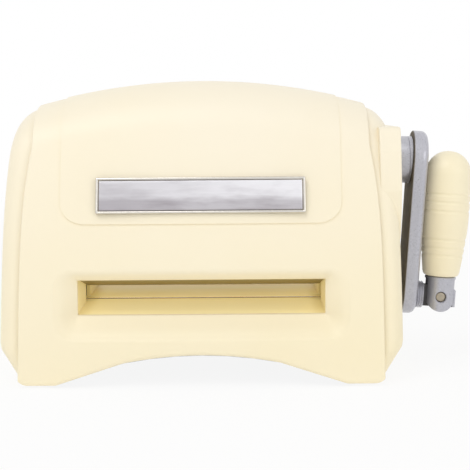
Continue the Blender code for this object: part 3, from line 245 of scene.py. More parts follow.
def groundSteel(s):
    lines = s.noise(900, 3, (0.06, 1, 1), 0.7)  # grinding lines round the bar
    stain = s.noise(60, 4)
    tone = s.mix(s.ramp(stain, 0.4, 0.75), shade((190, 188, 184)), shade((158, 154, 148)))
    return {"Base Color": tone, "Metallic": 1.0, "Roughness": 0.26 + (lines - 0.5) * 0.22,
            "Normal": s.bump(lines, 0.00002, 0.5)}


def rollerSteel(s):
    # ground steel with a painted warm reflection of the feed path round it: an amber tint in patches, and a
    # faint painted glow
    values = groundSteel(s)
    paintedWarmth = 0.35 + s.ramp(s.noise(70, 3, (0.4, 1, 1)), 0.35, 0.7) * 0.4
    values["Base Color"] = s.mix(paintedWarmth, values["Base Color"], shade((226, 204, 150)))
    values["Metallic"] = 0.5
    values["Emission Color"] = shade((206, 182, 120))
    values["Emission Strength"] = 0.16
    return values


def pinSteel(s):
    swirl = s.noise(1500, 3, (1, 0.3, 1), 0.7)
    stain = s.noise(180, 4)
    tone = s.mix(s.ramp(stain, 0.35, 0.7), shade((192, 182, 163)), shade((164, 154, 137)))
    return {"Base Color": tone, "Metallic": 0.85, "Roughness": 0.38 + (swirl - 0.5) * 0.2,
            "Normal": s.bump(swirl, 0.00003, 0.5)}


def zincSheet(s):
    spangle = s.cells(170)
    haze = s.noise(40, 4)
    tone = s.mix(spangle, shade((150, 153, 156)), shade((176, 178, 180)))
    rough = 0.36 + (spangle - 0.5) * 0.14 + (haze - 0.5) * 0.16
    return {"Base Color": tone, "Metallic": 1.0, "Roughness": rough, "Normal": s.bump(haze, 0.00006, 0.4)}


def bronzeFinish(s):
    pores = s.noise(2400, 3, roughness=0.7)
    oil = s.noise(90, 3)
    tone = s.mix(s.ramp(pores, 0.35, 0.6), shade((104, 74, 44)), shade((176, 134, 84)))
    return {"Base Color": tone, "Metallic": 0.9, "Roughness": 0.5 - s.ramp(oil, 0.4, 0.7) * 0.18,
            "Normal": s.bump(pores, 0.00004, 0.6)}


def acetalFinish(s):
    haze = s.noise(55, 3)
    fine = s.noise(1800, 2)
    grease = s.ramp(s.noise(120, 4), 0.56, 0.68)  # thin film of grease left in places
    tone = s.mix(haze, shade((236, 235, 228)), shade((226, 224, 214)))
    tone = s.mix(grease * 0.5, tone, shade((206, 196, 160)))
    return {"Base Color": tone, "Roughness": 0.42 - grease * 0.22 + (fine - 0.5) * 0.08,
            "Normal": s.bump(fine, 0.00003, 0.4)}


def chromeFinish(s):
    haze = s.noise(240, 3)
    return {"Base Color": s.mix(haze, shade((226, 223, 216)), shade((208, 203, 194))), "Metallic": 1.0,
            "Roughness": 0.10 + haze * 0.08}


def plateWithPaintedReflection(s):
    foil = s.noise(34, 4, (0.5, 1, 1.6), 0.6)  # cloudy foil, drawn out along the plate; it also sets the wave of the painted reflection below
    streak = s.noise(150, 3, (0.25, 1, 1), 0.55)
    brush = s.noise(1100, 3, (0.02, 1, 1), 0.6)  # fine straight brushing under the lacquer
    lower = 1 - s.ramp(s.axis("Z") + (foil - 0.5) * 0.008, 0.1140, 0.1175)  # painted reflection: a wavy darker band over the lower part of the plate
    # painted reflection: the left end of the plate darker, over the cloudy tone of the foil
    pale = s.mix(s.ramp(foil, 0.3, 0.7) * 0.4 + s.ramp(s.axis("X"), -0.08, -0.02) * 0.6,
                 shade((198, 195, 200)), shade((238, 237, 241)))
    dark = s.ramp(streak, 0.45, 0.75) * 0.35 + (brush - 0.5) * 0.2 + lower * 0.6
    return {"Base Color": s.mix(dark, pale, shade((160, 154, 160))), "Metallic": 0.2,
            "Roughness": 0.34 + (brush - 0.5) * 0.12, "Coat Weight": 0.15, "Coat Roughness": 0.22,
            "Normal": s.bump(brush, 0.00001, 0.3)}


def rubberFinish(s):
    grain = s.noise(1600, 3)
    dust = s.ramp(s.noise(140, 4), 0.5, 0.8)
    return {"Base Color": s.mix(dust * 0.5, shade((34, 33, 32)), shade((92, 88, 82))),
            "Roughness": 0.75 + dust * 0.15, "Normal": s.bump(grain, 0.00008, 0.6)}


finishes, slots = {}, {}  # materials, and the record's slot for each


def addFinish(key, slot, name, build):
    finishes[key] = material(name, build)
    slots[key] = slot


# painted shade: the cream guides are coloured a dark tan, for the shade under the top of the slot
guidePaintedShade = {"colour": (146, 132, 88), "deep": (136, 122, 80)}
gripTones = {"colour": (250, 240, 210), "rough": 0.36}
addFinish("cream", "housing_plastic", "creamPlastic", creamFinish(cream))
addFinish("deck", "feed_plastic", "creamDeckPlastic", deckWithPaintedGlow)
addFinish("guide", "feed_plastic", "creamGuidePlastic", creamFinish({**cream, **guidePaintedShade}))
addFinish("grip", "grip_plastic", "creamGripPlastic", creamFinish({**cream, **gripTones}))
addFinish("silver", "silver_paint", "silverPaint", silverPaint)
addFinish("steel", "bright_steel", "groundSteel", groundSteel)
addFinish("roller", "bright_steel", "rollerSteel", rollerSteel)
addFinish("pin", "bright_steel", "pinSteel", pinSteel)
addFinish("zinc", "frame_steel", "zincSheet", zincSheet)
addFinish("bronze", "bronze", "sinteredBronze", bronzeFinish)
addFinish("acetal", "gear_plastic", "whiteAcetal", acetalFinish)
addFinish("chrome", "chrome_trim", "chromeTrim", chromeFinish)
addFinish("plate", "plate_face", "plateFace", plateWithPaintedReflection)
addFinish("rubber", "rubber", "blackRubber", rubberFinish)
print("finishes made:", len(finishes))


def addItem(name, data):
    item = bpy.data.objects.new(name, data)
    bpy.context.scene.collection.objects.link(item)
    return item


def addMesh(name, form):
    mesh = bpy.data.meshes.new(name)
    form.to_mesh(mesh)
    form.free()
    return addItem(name, mesh)


def smooth(mesh, sharp):
    # smooth shading, with edges kept sharp over an angle in degrees
    for face in mesh.polygons:
        face.use_smooth = True
    if sharp:
        mesh.set_sharp_from_angle(angle=math.radians(sharp))


def newPiece(name, form, finish, body, sharp=0, turn=Matrix.Identity(4)):
    # a finished piece that rides on a body and stands for the CAD node of its name
    item = addMesh(name, form)
    item.data.transform(turn)
    smooth(item.data, sharp)
    item.data.materials.append(finishes[finish])
    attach(item, body)
    if name in frame["nodes"]:
        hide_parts(name)
    return item


def softEdges(item, width, segments=2, angle=40):
    edge = item.modifiers.new("softEdges", "BEVEL")
    edge.width = width
    edge.segments = segments
    edge.limit_method = "ANGLE"
    edge.angle_limit = math.radians(angle)
    normals = item.modifiers.new("evenShading", "WEIGHTED_NORMAL")
    normals.keep_sharp = True


def gridForm(rows, skip=None, wrap=False):
    # quads over rows of points; skip leaves cells out
    form = bmesh.new()
    points = [[form.verts.new(point) for point in row] for row in rows]
    columns = len(rows[0])
    for j in range(len(rows) - 1):
        for i in range(columns if wrap else columns - 1):
            if skip and skip(i, j):
                continue
            after = (i + 1) % columns
            form.faces.new((points[j][i], points[j][after], points[j + 1][after], points[j + 1][i]))
    return form, points


def joinRings(form, rings):
    # quads between closed rings of points
    for one, two in zip(rings, rings[1:]):
        for index in range(len(one)):
            after = (index + 1) % len(one)
            form.faces.new((one[index], one[after], two[after], two[index]))


def faceOut(form):
    bmesh.ops.recalc_face_normals(form, faces=form.faces)


def tidyForm(form, outward):
    # merges points, and turns the faces outward
    bmesh.ops.remove_doubles(form, verts=form.verts, dist=0.000004)
    bmesh.ops.dissolve_degenerate(form, dist=0.000002, edges=form.edges)
    faceOut(form)
    total = sum((face.normal * face.calc_area() for face in form.faces), Vector((0, 0, 0)))
    if total.dot(outward) < 0:
        bmesh.ops.reverse_faces(form, faces=form.faces)


def thicken(item, thickness):
    wall = item.modifiers.new("wall", "SOLIDIFY")
    wall.thickness = thickness
    wall.offset = -1


def spun(profile, steps=96, closed=False):
    # turns (radius, height) points about Z
    form = bmesh.new()
    rings = []
    for radius, height in profile:
        angles = [2 * math.pi * step / steps for step in range(steps if radius > 0 else 1)]
        rings.append([form.verts.new((radius * math.cos(angle), radius * math.sin(angle), height))
                      for angle in angles])
    for one, two in zip(rings, rings[1:] + rings[:closed]):
        for step in range(steps):
            after = (step + 1) % steps
            corners = [ring[index % len(ring)] for ring, order in ((one, (step, after)), (two, (after, step)))
                       for index in order]
            if len(set(corners)) > 2:
                form.faces.new(list(dict.fromkeys(corners)))
    faceOut(form)
    return form


def bar(radius, low=-far, high=far):
    # a round bar about Z, to cut holes with
    return spun([(0, high), (radius, high), (radius, low), (0, low)], 64)


def slab(outline, low, high):
    # a solid between two heights of one outline
    form = bmesh.new()
    floor, roof = [[form.verts.new((x, y, height)) for x, y in outline] for height in (low, high)]
    joinRings(form, [floor, roof])
    form.faces.new(floor[::-1])
    form.faces.new(roof)
    faceOut(form)
    return form


def block(halfX, halfY, low, high):
    return slab([(-halfX, -halfY), (halfX, -halfY), (halfX, halfY), (-halfX, halfY)], low, high)


def sweep(centre, radius, start, end, steps):
    # points along an arc, angles in degrees
    points = []
    for step in range(steps + 1):
        angle = math.radians(start + (end - start) * step / steps)
        points.append((centre[0] + radius * math.cos(angle), centre[1] + radius * math.sin(angle)))
    return points


def roundCorners(corners, radius, steps=8):
    # an outline given anticlockwise, its corners rounded
    points = []
    for index, corner in enumerate(corners):
        here = Vector(corner)
        back = (Vector(corners[index - 1]) - here).normalized()
        ahead = (Vector(corners[(index + 1) % len(corners)]) - here).normalized()
        half = back.angle(ahead) / 2
        centre = here + (back + ahead).normalized() * (radius / math.sin(half))
        start = here + back * (radius / math.tan(half)) - centre
        end = here + ahead * (radius / math.tan(half)) - centre
        turn = start.angle_signed(end)
        for step in range(steps + 1):
            angle = -turn * step / steps
            points.append((centre.x + start.x * math.cos(angle) - start.y * math.sin(angle),
                           centre.y + start.x * math.sin(angle) + start.y * math.cos(angle)))
    return points


def cutBy(item, forms, operation="DIFFERENCE"):
    # applies Booleans and keeps no helper objects
    helpers = [addMesh("cutter", form) for form in forms]
    for helper in helpers:
        helper.matrix_world = item.matrix_world
        step = item.modifiers.new("cut", "BOOLEAN")
        step.operation = operation
        step.object = helper
    bpy.context.view_layer.update()
    result = bpy.data.meshes.new_from_object(item.evaluated_get(bpy.context.evaluated_depsgraph_get()))
    item.modifiers.clear()
    old = item.data
    item.data = result
    bpy.data.meshes.remove(old)
    for helper in helpers:
        bpy.data.objects.remove(helper, do_unlink=True)
    smooth(item.data, 32)


def shifted(form, turn):
    form.transform(turn)
    return form


# stands an outline up, across Y and up Z
standUp = Matrix(((0, 0, 1, 0), (1, 0, 0, 0), (0, 1, 0, 0), (0, 0, 0, 1)))


def alongX(place):
    # stands a turned piece along X at a place
    return Matrix.Translation(place) @ Matrix.Rotation(math.pi / 2, 4, "Y")


def upright(outline, low, high, side=1):
    return shifted(slab([(side * y, z) for y, z in outline], low, high), standUp)


def ease(share):
    share = min(1, max(0, share))
    return share * share * (3 - 2 * share)


def shareOf(value, start, end):
    return (value - start) / (end - start)


def between(start, end, share):
    return start + (end - start) * share


def quarter(count):
    # sine and cosine at even steps over a quarter turn
    angles = [math.pi / 2 * step / count for step in range(count + 1)]
    return [(math.sin(angle), math.cos(angle)) for angle in angles]


def spread(start, *parts):
    # marks at even steps, up to each part's end in turn
    marks = []
    for end, step in parts:
        count = max(1, round((end - start) / step))
        marks += [between(start, end, index / count) for index in range(count)]
        start = end
    return marks + [start]


housing = {
    "height": cadBox[1][2],
    "foot": 1.5 * mm,  # underside of the shells above the table
    "footDepth": 84 * mm,
    "shoulderDepth": 47 * mm,
    "shoulder": crankZ + 23.4 * mm,
    "bulge": 3 * mm,
    "faceHandle": 16 * mm,
    "topHandle": 26 * mm,
    "crownRadius": 398 * mm,
    "bow": 0.0107,  # share by which the depth falls at the ends
    "panelRaise": 0.8 * mm,
    "halfWidth": 126.9 * mm,
    "endFall": 3.4 * mm,  # covers are this much narrower at the shoulder
    "shellHalfWidth": 114 * mm,
    "shellFall": 6.4 * mm,
    "footHalfWidth": 112.5 * mm,
    "footCorner": 4.5 * mm,
    "chamferTop": 26 * mm,
    "levelFoot": 40 * mm,
    "crownSteps": 16,
    "slopeRun": 6 * mm,
}
shellCrown = housing["height"] - housing["panelRaise"]
footZ, chamferZ, shoulderZ = housing["foot"], housing["chamferTop"], housing["shoulder"]


def facePoint(height):
    share = shareOf(height, footZ, shoulderZ)
    depth = between(housing["footDepth"], housing["shoulderDepth"], share)
    return Vector((depth + 4 * housing["bulge"] * share * (1 - share), height))


def crownPoint(share):
    start = facePoint(shoulderZ)
    slope = (start - facePoint(shoulderZ - housing["slopeRun"])).normalized()
    end = Vector((0, shellCrown))
    first = start + slope * housing["faceHandle"]
    second = end + Vector((housing["topHandle"], 0))
    rest = 1 - share
    return (start * rest ** 3 + first * 3 * rest ** 2 * share
            + second * 3 * rest * share ** 2 + end * share ** 3)


def profile(levels, offset):
    # up the face and over to the middle plane, moved out by offset
    steps = housing["crownSteps"]
    path = [facePoint(height) for height in levels]
    path += [crownPoint(step / steps) for step in range(1, steps + 1)]
    moved = []
    for index, point in enumerate(path):
        before = path[max(index - 1, 0)]
        after = path[min(index + 1, len(path) - 1)]
        run = after - before
        across = Vector((run.y, -run.x)).normalized() if index < len(path) - 1 else Vector((0, 1))
        out = point + across * offset
        if index < len(levels):  # near the foot each point keeps its height, so that the edge stays level
            keep = 1 if index == 0 else max(0, 1 - (point.y - footZ) / housing["levelFoot"])
            out = out + run * ((point.y - out.y) * keep / run.y)
        moved.append(out)
    return moved


def crownDrop(x):
    return x * x / (2 * housing["crownRadius"]) / housing["height"]


def bowAt(x):
    return 1 - housing["bow"] * (x / housing["halfWidth"]) ** 2


def onHousing(x, point):
    return point.x * bowAt(x), point.y * (1 - crownDrop(x))


def chamferWidth(height):
    # the slanted lower corner, rounded where it meets the foot
    corner = housing["footCorner"]
    turn = min(1, max(0, 1 - (height - footZ) / corner))
    share = shareOf(height, footZ, chamferZ)
    width = between(housing["footHalfWidth"], housing["halfWidth"], share)
    return width - corner * (1 - math.sqrt(1 - turn * turn))


def coverWidth(height):
    if height < chamferZ:
        return chamferWidth(height)
    share = shareOf(height, chamferZ, shoulderZ)
    return housing["halfWidth"] - housing["endFall"] * share ** 4


def shellWidth(height):
    share = min(1, max(0, shareOf(height, chamferZ, shoulderZ)))
    return min(housing["shellHalfWidth"] - housing["shellFall"] * share ** 4, chamferWidth(height))


arch = {"footInner": 90.5 * mm, "knee": 48.8 * mm, "kneeHeight": 14.7 * mm, "top": 19.4 * mm}


def archHeight(x):
    x = abs(x)
    if x >= arch["footInner"]:
        return footZ
    if x >= arch["knee"]:
        return between(footZ, arch["kneeHeight"], shareOf(x, arch["footInner"], arch["knee"]))
    return between(arch["top"], arch["kneeHeight"], (x / arch["knee"]) ** 2)


slot = {
    "half": 78 * mm,
    "low": 42.9 * mm,
    "rearLow": 44.2 * mm,  # level with the top of the lower roller
    "high": 64.8 * mm,
    "inset": 7.6 * mm,
    "lip": 2.5 * mm,
    "funnelHalf": 91.4 * mm,
    "funnelLow": 30.5 * mm,
    "funnelHigh": 70.3 * mm,
    "highCorner": 11 * mm,
    "lowCorner": 13 * mm,
    "softness": 0.42,
    "beyond": 6 * mm,  # reach of the softness past the funnel
    "cornerTurn": (52 * mm, 8 * mm),  # height and reach of the change between the two corners
}
mouthDepth = facePoint(slot["high"]).x - slot["inset"]


def boxDistance(x, z, half, low, high, corner):
    # distance outside a rectangle with rounded corners, negative inside
    sideways = abs(x) - (half - corner)
    upwards = abs(z - (low + high) / 2) - ((high - low) / 2 - corner)
    outside = math.hypot(max(sideways, 0), max(upwards, 0))
    return outside + min(max(sideways, upwards), 0) - corner


def sillOf(side):
    return slot["low"] if side < 0 else slot["rearLow"]


def funnelDepth(x, z, face, sill):
    # the face eases down into the slot mouth
    inner = max(0, boxDistance(x, z, slot["half"], sill, slot["high"], 0))
    turn, spell = slot["cornerTurn"]
    corner = between(slot["highCorner"], slot["lowCorner"], ease((turn - z) / spell + 0.5))
    outer = -boxDistance(x, z, slot["funnelHalf"], slot["funnelLow"], slot["funnelHigh"], corner)
    if outer >= 0:
        share = inner / max(inner + outer, 1e-9)
    else:
        share = 1 - outer / slot["beyond"]
    soft = slot["softness"]
    blend = max(soft - abs(share - 1), 0) / soft
    share = min(share, 1) - blend * blend * soft / 4
    return between(mouthDepth, face, share)


shell = {
    "rim": 1.1 * mm,
    "lowRim": 2.4 * mm,
    "wall": 2.3 * mm,
    "edge": 0.45 * mm,
    "crownGap": 0.15 * mm,
    "bandStart": 93 * mm,
    "fineLow": 27 * mm,
    "fineHigh": 76 * mm,
    "funnelEnd": 77 * mm,
    "lowSteps": 11,
    "bandStep": 0.94 * mm,
    # how far out each run of columns inside the band goes, and their spacing
    "columns": ((arch["knee"], 6 * mm), (74 * mm, 5 * mm), (slot["half"], 1.3 * mm)),
    # spacing of the rows below, beside and above the slot and up to the shoulder
    "rows": (0.95 * mm, 2.4 * mm, 0.62 * mm, 5.5 * mm),
    "near": 0.02 * mm,  # for finding the edges round the slot
}


def shellColumns():
    fixed = spread(0, *shell["columns"], (shell["bandStart"], shell["bandStep"]))[:-1]
    columns = [("fixed", x, 0) for x in fixed]
    columns += [("edge", step / 6, 0) for step in range(6)]
    columns += [("round", sine, shell["rim"] * (1 - cosine)) for sine, cosine in quarter(4)]
    return [(kind, -value, inset, -1) for kind, value, inset in columns[:0:-1]] + [
        (kind, value, inset, 1) for kind, value, inset in columns]


def shellX(kind, value, side, height):
    if kind == "fixed":
        return value
    reach = shellWidth(height) - shell["rim"]
    if kind == "edge":
        return side * between(shell["bandStart"], reach, abs(value))
    return side * (reach + shell["rim"] * abs(value))


def shellRows(side):
    columns = shellColumns()
    rim, fineLow, fineHigh = shell["lowRim"], shell["fineLow"], shell["fineHigh"]
    sill = sillOf(side)
    rows = []
    for sine, cosine in quarter(6)[:-1]:  # round lower edge
        rise, drop = rim * (1 - cosine), rim * (1 - sine)
        row = []
        for kind, value, inset, hand in columns:
            x = shellX(kind, value, hand, footZ + rise)
            row.append(shellVertex(x, archHeight(x) + rise, side, inset + drop, None))
        rows.append(row)
    for step in range(shell["lowSteps"]):
        row = []
        for kind, value, inset, hand in columns:
            start = archHeight(value if kind == "fixed" else housing["shellHalfWidth"]) + rim
            z = between(start, fineLow, (step / shell["lowSteps"]) ** 1.4)
            row.append(shellVertex(shellX(kind, value, hand, z), z, side, inset, None))
        rows.append(row)
    for height in spread(fineLow, *zip((sill, slot["high"], fineHigh, shoulderZ), shell["rows"])):
        row = []
        share = ease(shareOf(height, fineHigh, shoulderZ))
        for kind, value, inset, hand in columns:
            x = shellX(kind, value, hand, height)
            z = height * (1 - crownDrop(x) * share)
            x = shellX(kind, value, hand, z / (1 - crownDrop(x)))
            row.append(shellVertex(x, z, side, inset, sill))
        rows.append(row)
    levels = [shoulderZ - housing["slopeRun"], shoulderZ]
    crowns = {inset: profile(levels, -inset)[2:] for _, _, inset, _ in columns}
    for index, point in enumerate(crowns[0]):
        row = []
        for kind, value, inset, hand in columns:
            x = shellX(kind, value, hand, point.y)
            depth, height = onHousing(x, crowns[inset][index])
            row.append((midX + x, side * max(depth, shell["crownGap"]), height))
        rows.append(row)
    return rows


def shellVertex(x, z, side, inset, sill):
    face = facePoint(z / (1 - crownDrop(x))).x * bowAt(x)
    if sill and z < shell["funnelEnd"]:
        face = funnelDepth(x, z, face, sill)
    return midX + x, side * (face - inset), z


def makeShell(name, side):
    rows = shellRows(side)
    sill = sillOf(side)

    def inMouth(i, j):
        points = [rows[j][i], rows[j][i + 1], rows[j + 1][i], rows[j + 1][i + 1]]
        x = sum(point[0] for point in points) / 4 - midX
        z = sum(point[2] for point in points) / 4
        return abs(x) < slot["half"] and sill < z < slot["high"]

    form, _ = gridForm(rows, inMouth)
    around = [edge for edge in form.edges if edge.is_boundary and all(
        abs(boxDistance(vertex.co.x - midX, vertex.co.z, slot["half"], sill, slot["high"], 0)) < shell["near"]
        for vertex in edge.verts)]
    grown = bmesh.ops.extrude_edge_only(form, edges=around)["geom"]
    for part in grown:
        if isinstance(part, bmesh.types.BMVert):
            part.co.y -= side * slot["lip"]
    tidyForm(form, Vector((0, side, 0.2)))
    item = newPiece(name, form, "cream", "housing")
    thicken(item, shell["wall"])
    softEdges(item, shell["edge"], 2, 48)


makeShell("front_shell", -1)
makeShell("rear_shell", 1)
print("shells made")


panel = {"half": 88.6 * mm, "bottom": 100.1 * mm, "corner": 14.5 * mm, "under": 1.0 * mm,
         "edge": 0.55 * mm, "rowStep": 4 * mm, "columns": 44}


def makePanel():
    corner = panel["corner"]
    levels = [panel["bottom"] + corner * (1 - math.cos(math.radians(angle))) for angle in range(0, 91, 9)]
    levels += spread(panel["bottom"] + corner, (shoulderZ, panel["rowStep"]))[1:]
    count = panel["columns"]
    widths = []
    for level in levels:
        rise = max(0, panel["bottom"] + corner - level)
        widths.append(panel["half"] - corner + math.sqrt(max(0, corner ** 2 - rise ** 2)))

    def layer(offset):
        # columns over the crown; the lower edge stays level where the crown falls
        full = widths + [panel["half"]] * housing["crownSteps"]
        full = full + full[-2::-1]
        lines = []
        for step in range(count + 1):
            across = 2 * step / count - 1
            raised = []
            for level, width in zip(levels, widths):
                share = shareOf(level, panel["bottom"], shoulderZ)
                raised.append(level / (1 - crownDrop(across * width) * (1 - share)))
            path = profile(raised, offset)
            path = path + [Vector((-point.x, point.y)) for point in reversed(path[:-1])]
            line = []
            for width, point in zip(full, path):
                depth, height = onHousing(across * width, Vector((abs(point.x), point.y)))
                line.append((midX + across * width, math.copysign(depth, -point.x) if point.x else 0, height))
            lines.append(line)
        return list(zip(*lines))

    over, under = layer(housing["panelRaise"]), layer(-panel["under"])
    form, points = gridForm([one + two[::-1] for one, two in zip(over, under)], wrap=True)
    for row in (points[0], points[-1]):  # both lower edges
        for i in range(count):
            form.faces.new((row[i], row[i + 1], row[-2 - i], row[-1 - i]))
    tidyForm(form, Vector((0, 0, 1)))
    item = newPiece("top_cover", form, "cream", "housing")
    softEdges(item, panel["edge"], 3, 60)


makePanel()
print("top cover made")


cover = {"step": 2.8 * mm, "endRadius": 11 * mm, "rim": 95 * mm, "wall": 2.3 * mm, "edge": 0.6 * mm,
         "rows": (0.9 * mm, 4 * mm, 5 * mm)}
pad = {"face": 127.6 * mm, "root": 113.8 * mm, "corner": 6 * mm, "edge": 1.6 * mm, "bore": 8.9 * mm,
       # height over the crank's axis and half depth at each corner, from the foot up
       "corners": ((-50.5 * mm, 46 * mm), (-33 * mm, 50.5 * mm), (-18 * mm, 52.4 * mm), (6.9 * mm, 48 * mm),
                   (22.7 * mm, 43.2 * mm))}


def makeCover(name, side):
    corner = footZ + housing["footCorner"]
    ends = corner, chamferZ, shoulderZ
    levels = spread(footZ, *zip(ends, cover["rows"]))
    radius = cover["endRadius"]
    runs = [(step / 4, 0) for step in range(4)] + [(1, step / 10) for step in range(11)]
    insets = {turn: cover["step"] + radius * (1 - math.cos(turn * math.pi / 2)) for _, turn in runs}
    sections = {turn: profile(levels, -inset) for turn, inset in insets.items()}
    across = 12
    rows = []
    for j in range(len(levels) + housing["crownSteps"]):
        front = []
        for run, turn in runs:
            point = sections[turn][j]
            flatEnd = coverWidth(point.y) - radius
            x = side * (between(cover["rim"], flatEnd, run) + radius * math.sin(turn * math.pi / 2))
            depth, height = onHousing(x, point)
            front.append((midX + x, -max(depth, 0), height))
        rear = [(x, -y, z) for x, y, z in reversed(front)]
        endX, endY, endZ = front[-1]
        flat = [(endX, endY * (1 - 2 * step / across), endZ) for step in range(1, across)]
        rows.append(front + flat + rear)
    form, points = gridForm(rows)
    form.faces.new(points[0])
    tidyForm(form, Vector((side, 0, 0)))
    item = newPiece(name, form, "cream", "housing")
    thicken(item, cover["wall"])
    softEdges(item, cover["edge"], 2, 42)


makeCover("left_side_cover", -1)
makeCover("right_side_cover", 1)


def makePad():
    front = [(half, crankZ + rise) for rise, half in pad["corners"]]
    corners = front + [(-y, z) for y, z in reversed(front)]
    form = upright(roundCorners(corners, pad["corner"]), pad["root"] + midX, pad["face"] + midX)
    item = newPiece("crank_pad", form, "cream", "housing")
    cutBy(item, [shifted(bar(pad["bore"]), alongX((midX + pad["face"], 0, crankZ)))])
    softEdges(item, pad["edge"], 4, 40)


makePad()
print("side covers made")


plate = {
    "width": 132 * mm,
    "height": 23.2 * mm,
    "centre": 117.6 * mm,
    "thick": 2.0 * mm,
    "rim": 1.8 * mm,
    "corner": 1.0 * mm,
    "lift": 0.3 * mm,
    "gap": 0.3 * mm,
    "faceCorner": 0.5 * mm,
    "leastCorner": 0.25 * mm,
    # shares of the rim's width and thickness, round its section
    "rimPath": ((0, 0), (0, 0.55), (0.12, 0.85), (0.32, 1), (0.6, 1), (0.85, 0.86), (1, 0.55), (1, 0.1)),
    # inset and height in millimetres, up to the domed face
    "facePath": ((0, 0), (0, 1.2), (0.25, 1.5), (0.7, 1.66), (1.6, 1.74)),
}


def plateMatrix():
    low = facePoint(plate["centre"] - plate["height"] / 2)
    high = facePoint(plate["centre"] + plate["height"] / 2)
    tilt = math.atan2(low.x - high.x, high.y - low.y)
    out = facePoint(plate["centre"]).x + (housing["panelRaise"] + plate["lift"]) / math.cos(tilt)
    return Matrix.Translation((midX, -out, plate["centre"])) @ Matrix.Rotation(math.pi / 2 - tilt, 4, "X")


def rectangle(halfWidth, halfHeight, corner, steps=6):
    return roundCorners([(-halfWidth, -halfHeight), (halfWidth, -halfHeight), (halfWidth, halfHeight),
                         (-halfWidth, halfHeight)], corner, steps)


def plateRings(form, path, halfWidth, halfHeight, corner, fade):
    # rectangles set in and raised along a path; their corners fade as they go in
    return [[form.verts.new((x, y, height)) for x, y in rectangle(
        halfWidth - inset, halfHeight - inset, max(plate["leastCorner"], corner - inset * fade))]
        for inset, height in path]


def makeNameplate():
    turn = plateMatrix()
    halfWidth, halfHeight = plate["width"] / 2, plate["height"] / 2
    form = bmesh.new()
    path = [(inset * plate["rim"], rise * plate["thick"]) for inset, rise in plate["rimPath"]]
    rings = plateRings(form, path, halfWidth, halfHeight, plate["corner"], 0.4)
    joinRings(form, rings + rings[:1])
    faceOut(form)
    newPiece("nameplate_frame", form, "chrome", "housing", 50, turn)
    gap = plate["rim"] + plate["gap"]
    form = bmesh.new()
    path = [(inset * mm, height * mm) for inset, height in plate["facePath"]]
    rings = plateRings(form, path, halfWidth - gap, halfHeight - gap, plate["faceCorner"], 0)
    joinRings(form, rings)
    form.faces.new(rings[0])
    form.faces.new(rings[-1])
    faceOut(form)
    newPiece("nameplate_insert", form, "plate", "housing", 40, turn)


makeNameplate()
print("nameplate made")


feed = {
    "rollerTop": 44.0 * mm,  # decks beside the lower roller
    "frontTop": 42.3 * mm,  # outer end of the front deck
    "thick": 2.5 * mm,
    "wallX": 78.6 * mm,
    "wallThick": 2.3 * mm,
    "wallStart": 12.2 * mm,
    "wallSink": 1.2 * mm,
    "bevel": 4.5 * mm,  # underside of a deck's inner edge
    "gap": 0.3 * mm,
    "guideThick": 2 * mm,
    "edge": 0.5 * mm,
    "guideEdge": 0.4 * mm,
}


def makeDeck(node, side, top):
    # a floor from the roller to the mouth, with a wall at each side
    low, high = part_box(node)
    inner, outer = sorted((abs(low.y), abs(high.y)))
    thick, inside = feed["thick"], feed["rollerTop"]
    outline = [(inner, inside), (inner + feed["bevel"], inside - thick), (outer - thick, top - thick),
               (outer - thick, low.z), (outer, low.z), (outer, top)]
    form = upright(outline, low.x, high.x, side)
    item = newPiece(node, form, "deck", "housing")
    start, end, sink = feed["wallStart"], outer - feed["gap"], feed["wallSink"]
    wall = [(start, inside - sink), (end, top - sink), (end, high.z), (start, high.z)]
    walls = []
    for hand in (-1, 1):
        ends = sorted((midX + hand * feed["wallX"], midX + hand * (feed["wallX"] + feed["wallThick"])))
        walls.append(upright(wall, *ends, side))
    cutBy(item, walls, "UNION")
    softEdges(item, feed["edge"], 3)


def makeGuide(node, side):
    low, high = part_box(node)
    inner, outer = sorted((abs(low.y), abs(high.y)))
    thick, gap = feed["guideThick"], feed["gap"]
    bend = slot["high"] + gap
    outline = [(inner, low.z), (outer, bend), (outer, high.z), (outer - thick, high.z),
               (outer - thick, bend + thick - gap), (inner, low.z + thick)]
    form = upright(outline, low.x, high.x, side)
    item = newPiece(node, form, "guide", "housing")
    softEdges(item, feed["guideEdge"], 3)


for name, side, top in (("front", -1, feed["frontTop"]), ("rear", 1, feed["rollerTop"])):
    makeDeck(name + "_feed_deck", side, top)
    makeGuide(name + "_feed_guide", side)


roller = {"half": 79.6 * mm, "soft": 0.6 * mm, "journal": 6.8 * mm, "seat": 5.6 * mm, "seatStart": 86.5 * mm,
          "seatEdge": 0.4 * mm, "journalEdge": 0.5 * mm}


def makeRoller(node, body):
    low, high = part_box(node)
    centre = (low + high) / 2
    radius = (high.z - low.z) / 2
    left, right = low.x - midX, high.x - midX
    half, soft, journal, seat, step, seatEdge, edge = roller.values()
    path = [(0, right), (seat - seatEdge, right), (seat, right - seatEdge), (seat, step), (journal, step),
            (journal, half), (radius - soft, half), (radius, half - soft), (radius, soft - half),
            (radius - soft, -half), (journal, -half), (journal, left + edge), (journal - edge, left),
            (0, left)]
    newPiece(node, spun(path, 96), "roller", body, 35, alongX((midX, centre.y, centre.z)))


makeRoller("lower_roller", "lower_roller_set")
makeRoller("upper_roller", "upper_roller_set")
print("feed path made")


foot = {"stem": 2.5 * mm, "stemEdge": 0.4 * mm, "stemSoft": 0.5 * mm, "top": 1.2 * mm, "edge": 0.2 * mm,
        "soft": 0.35 * mm, "ring": 2.2 * mm}


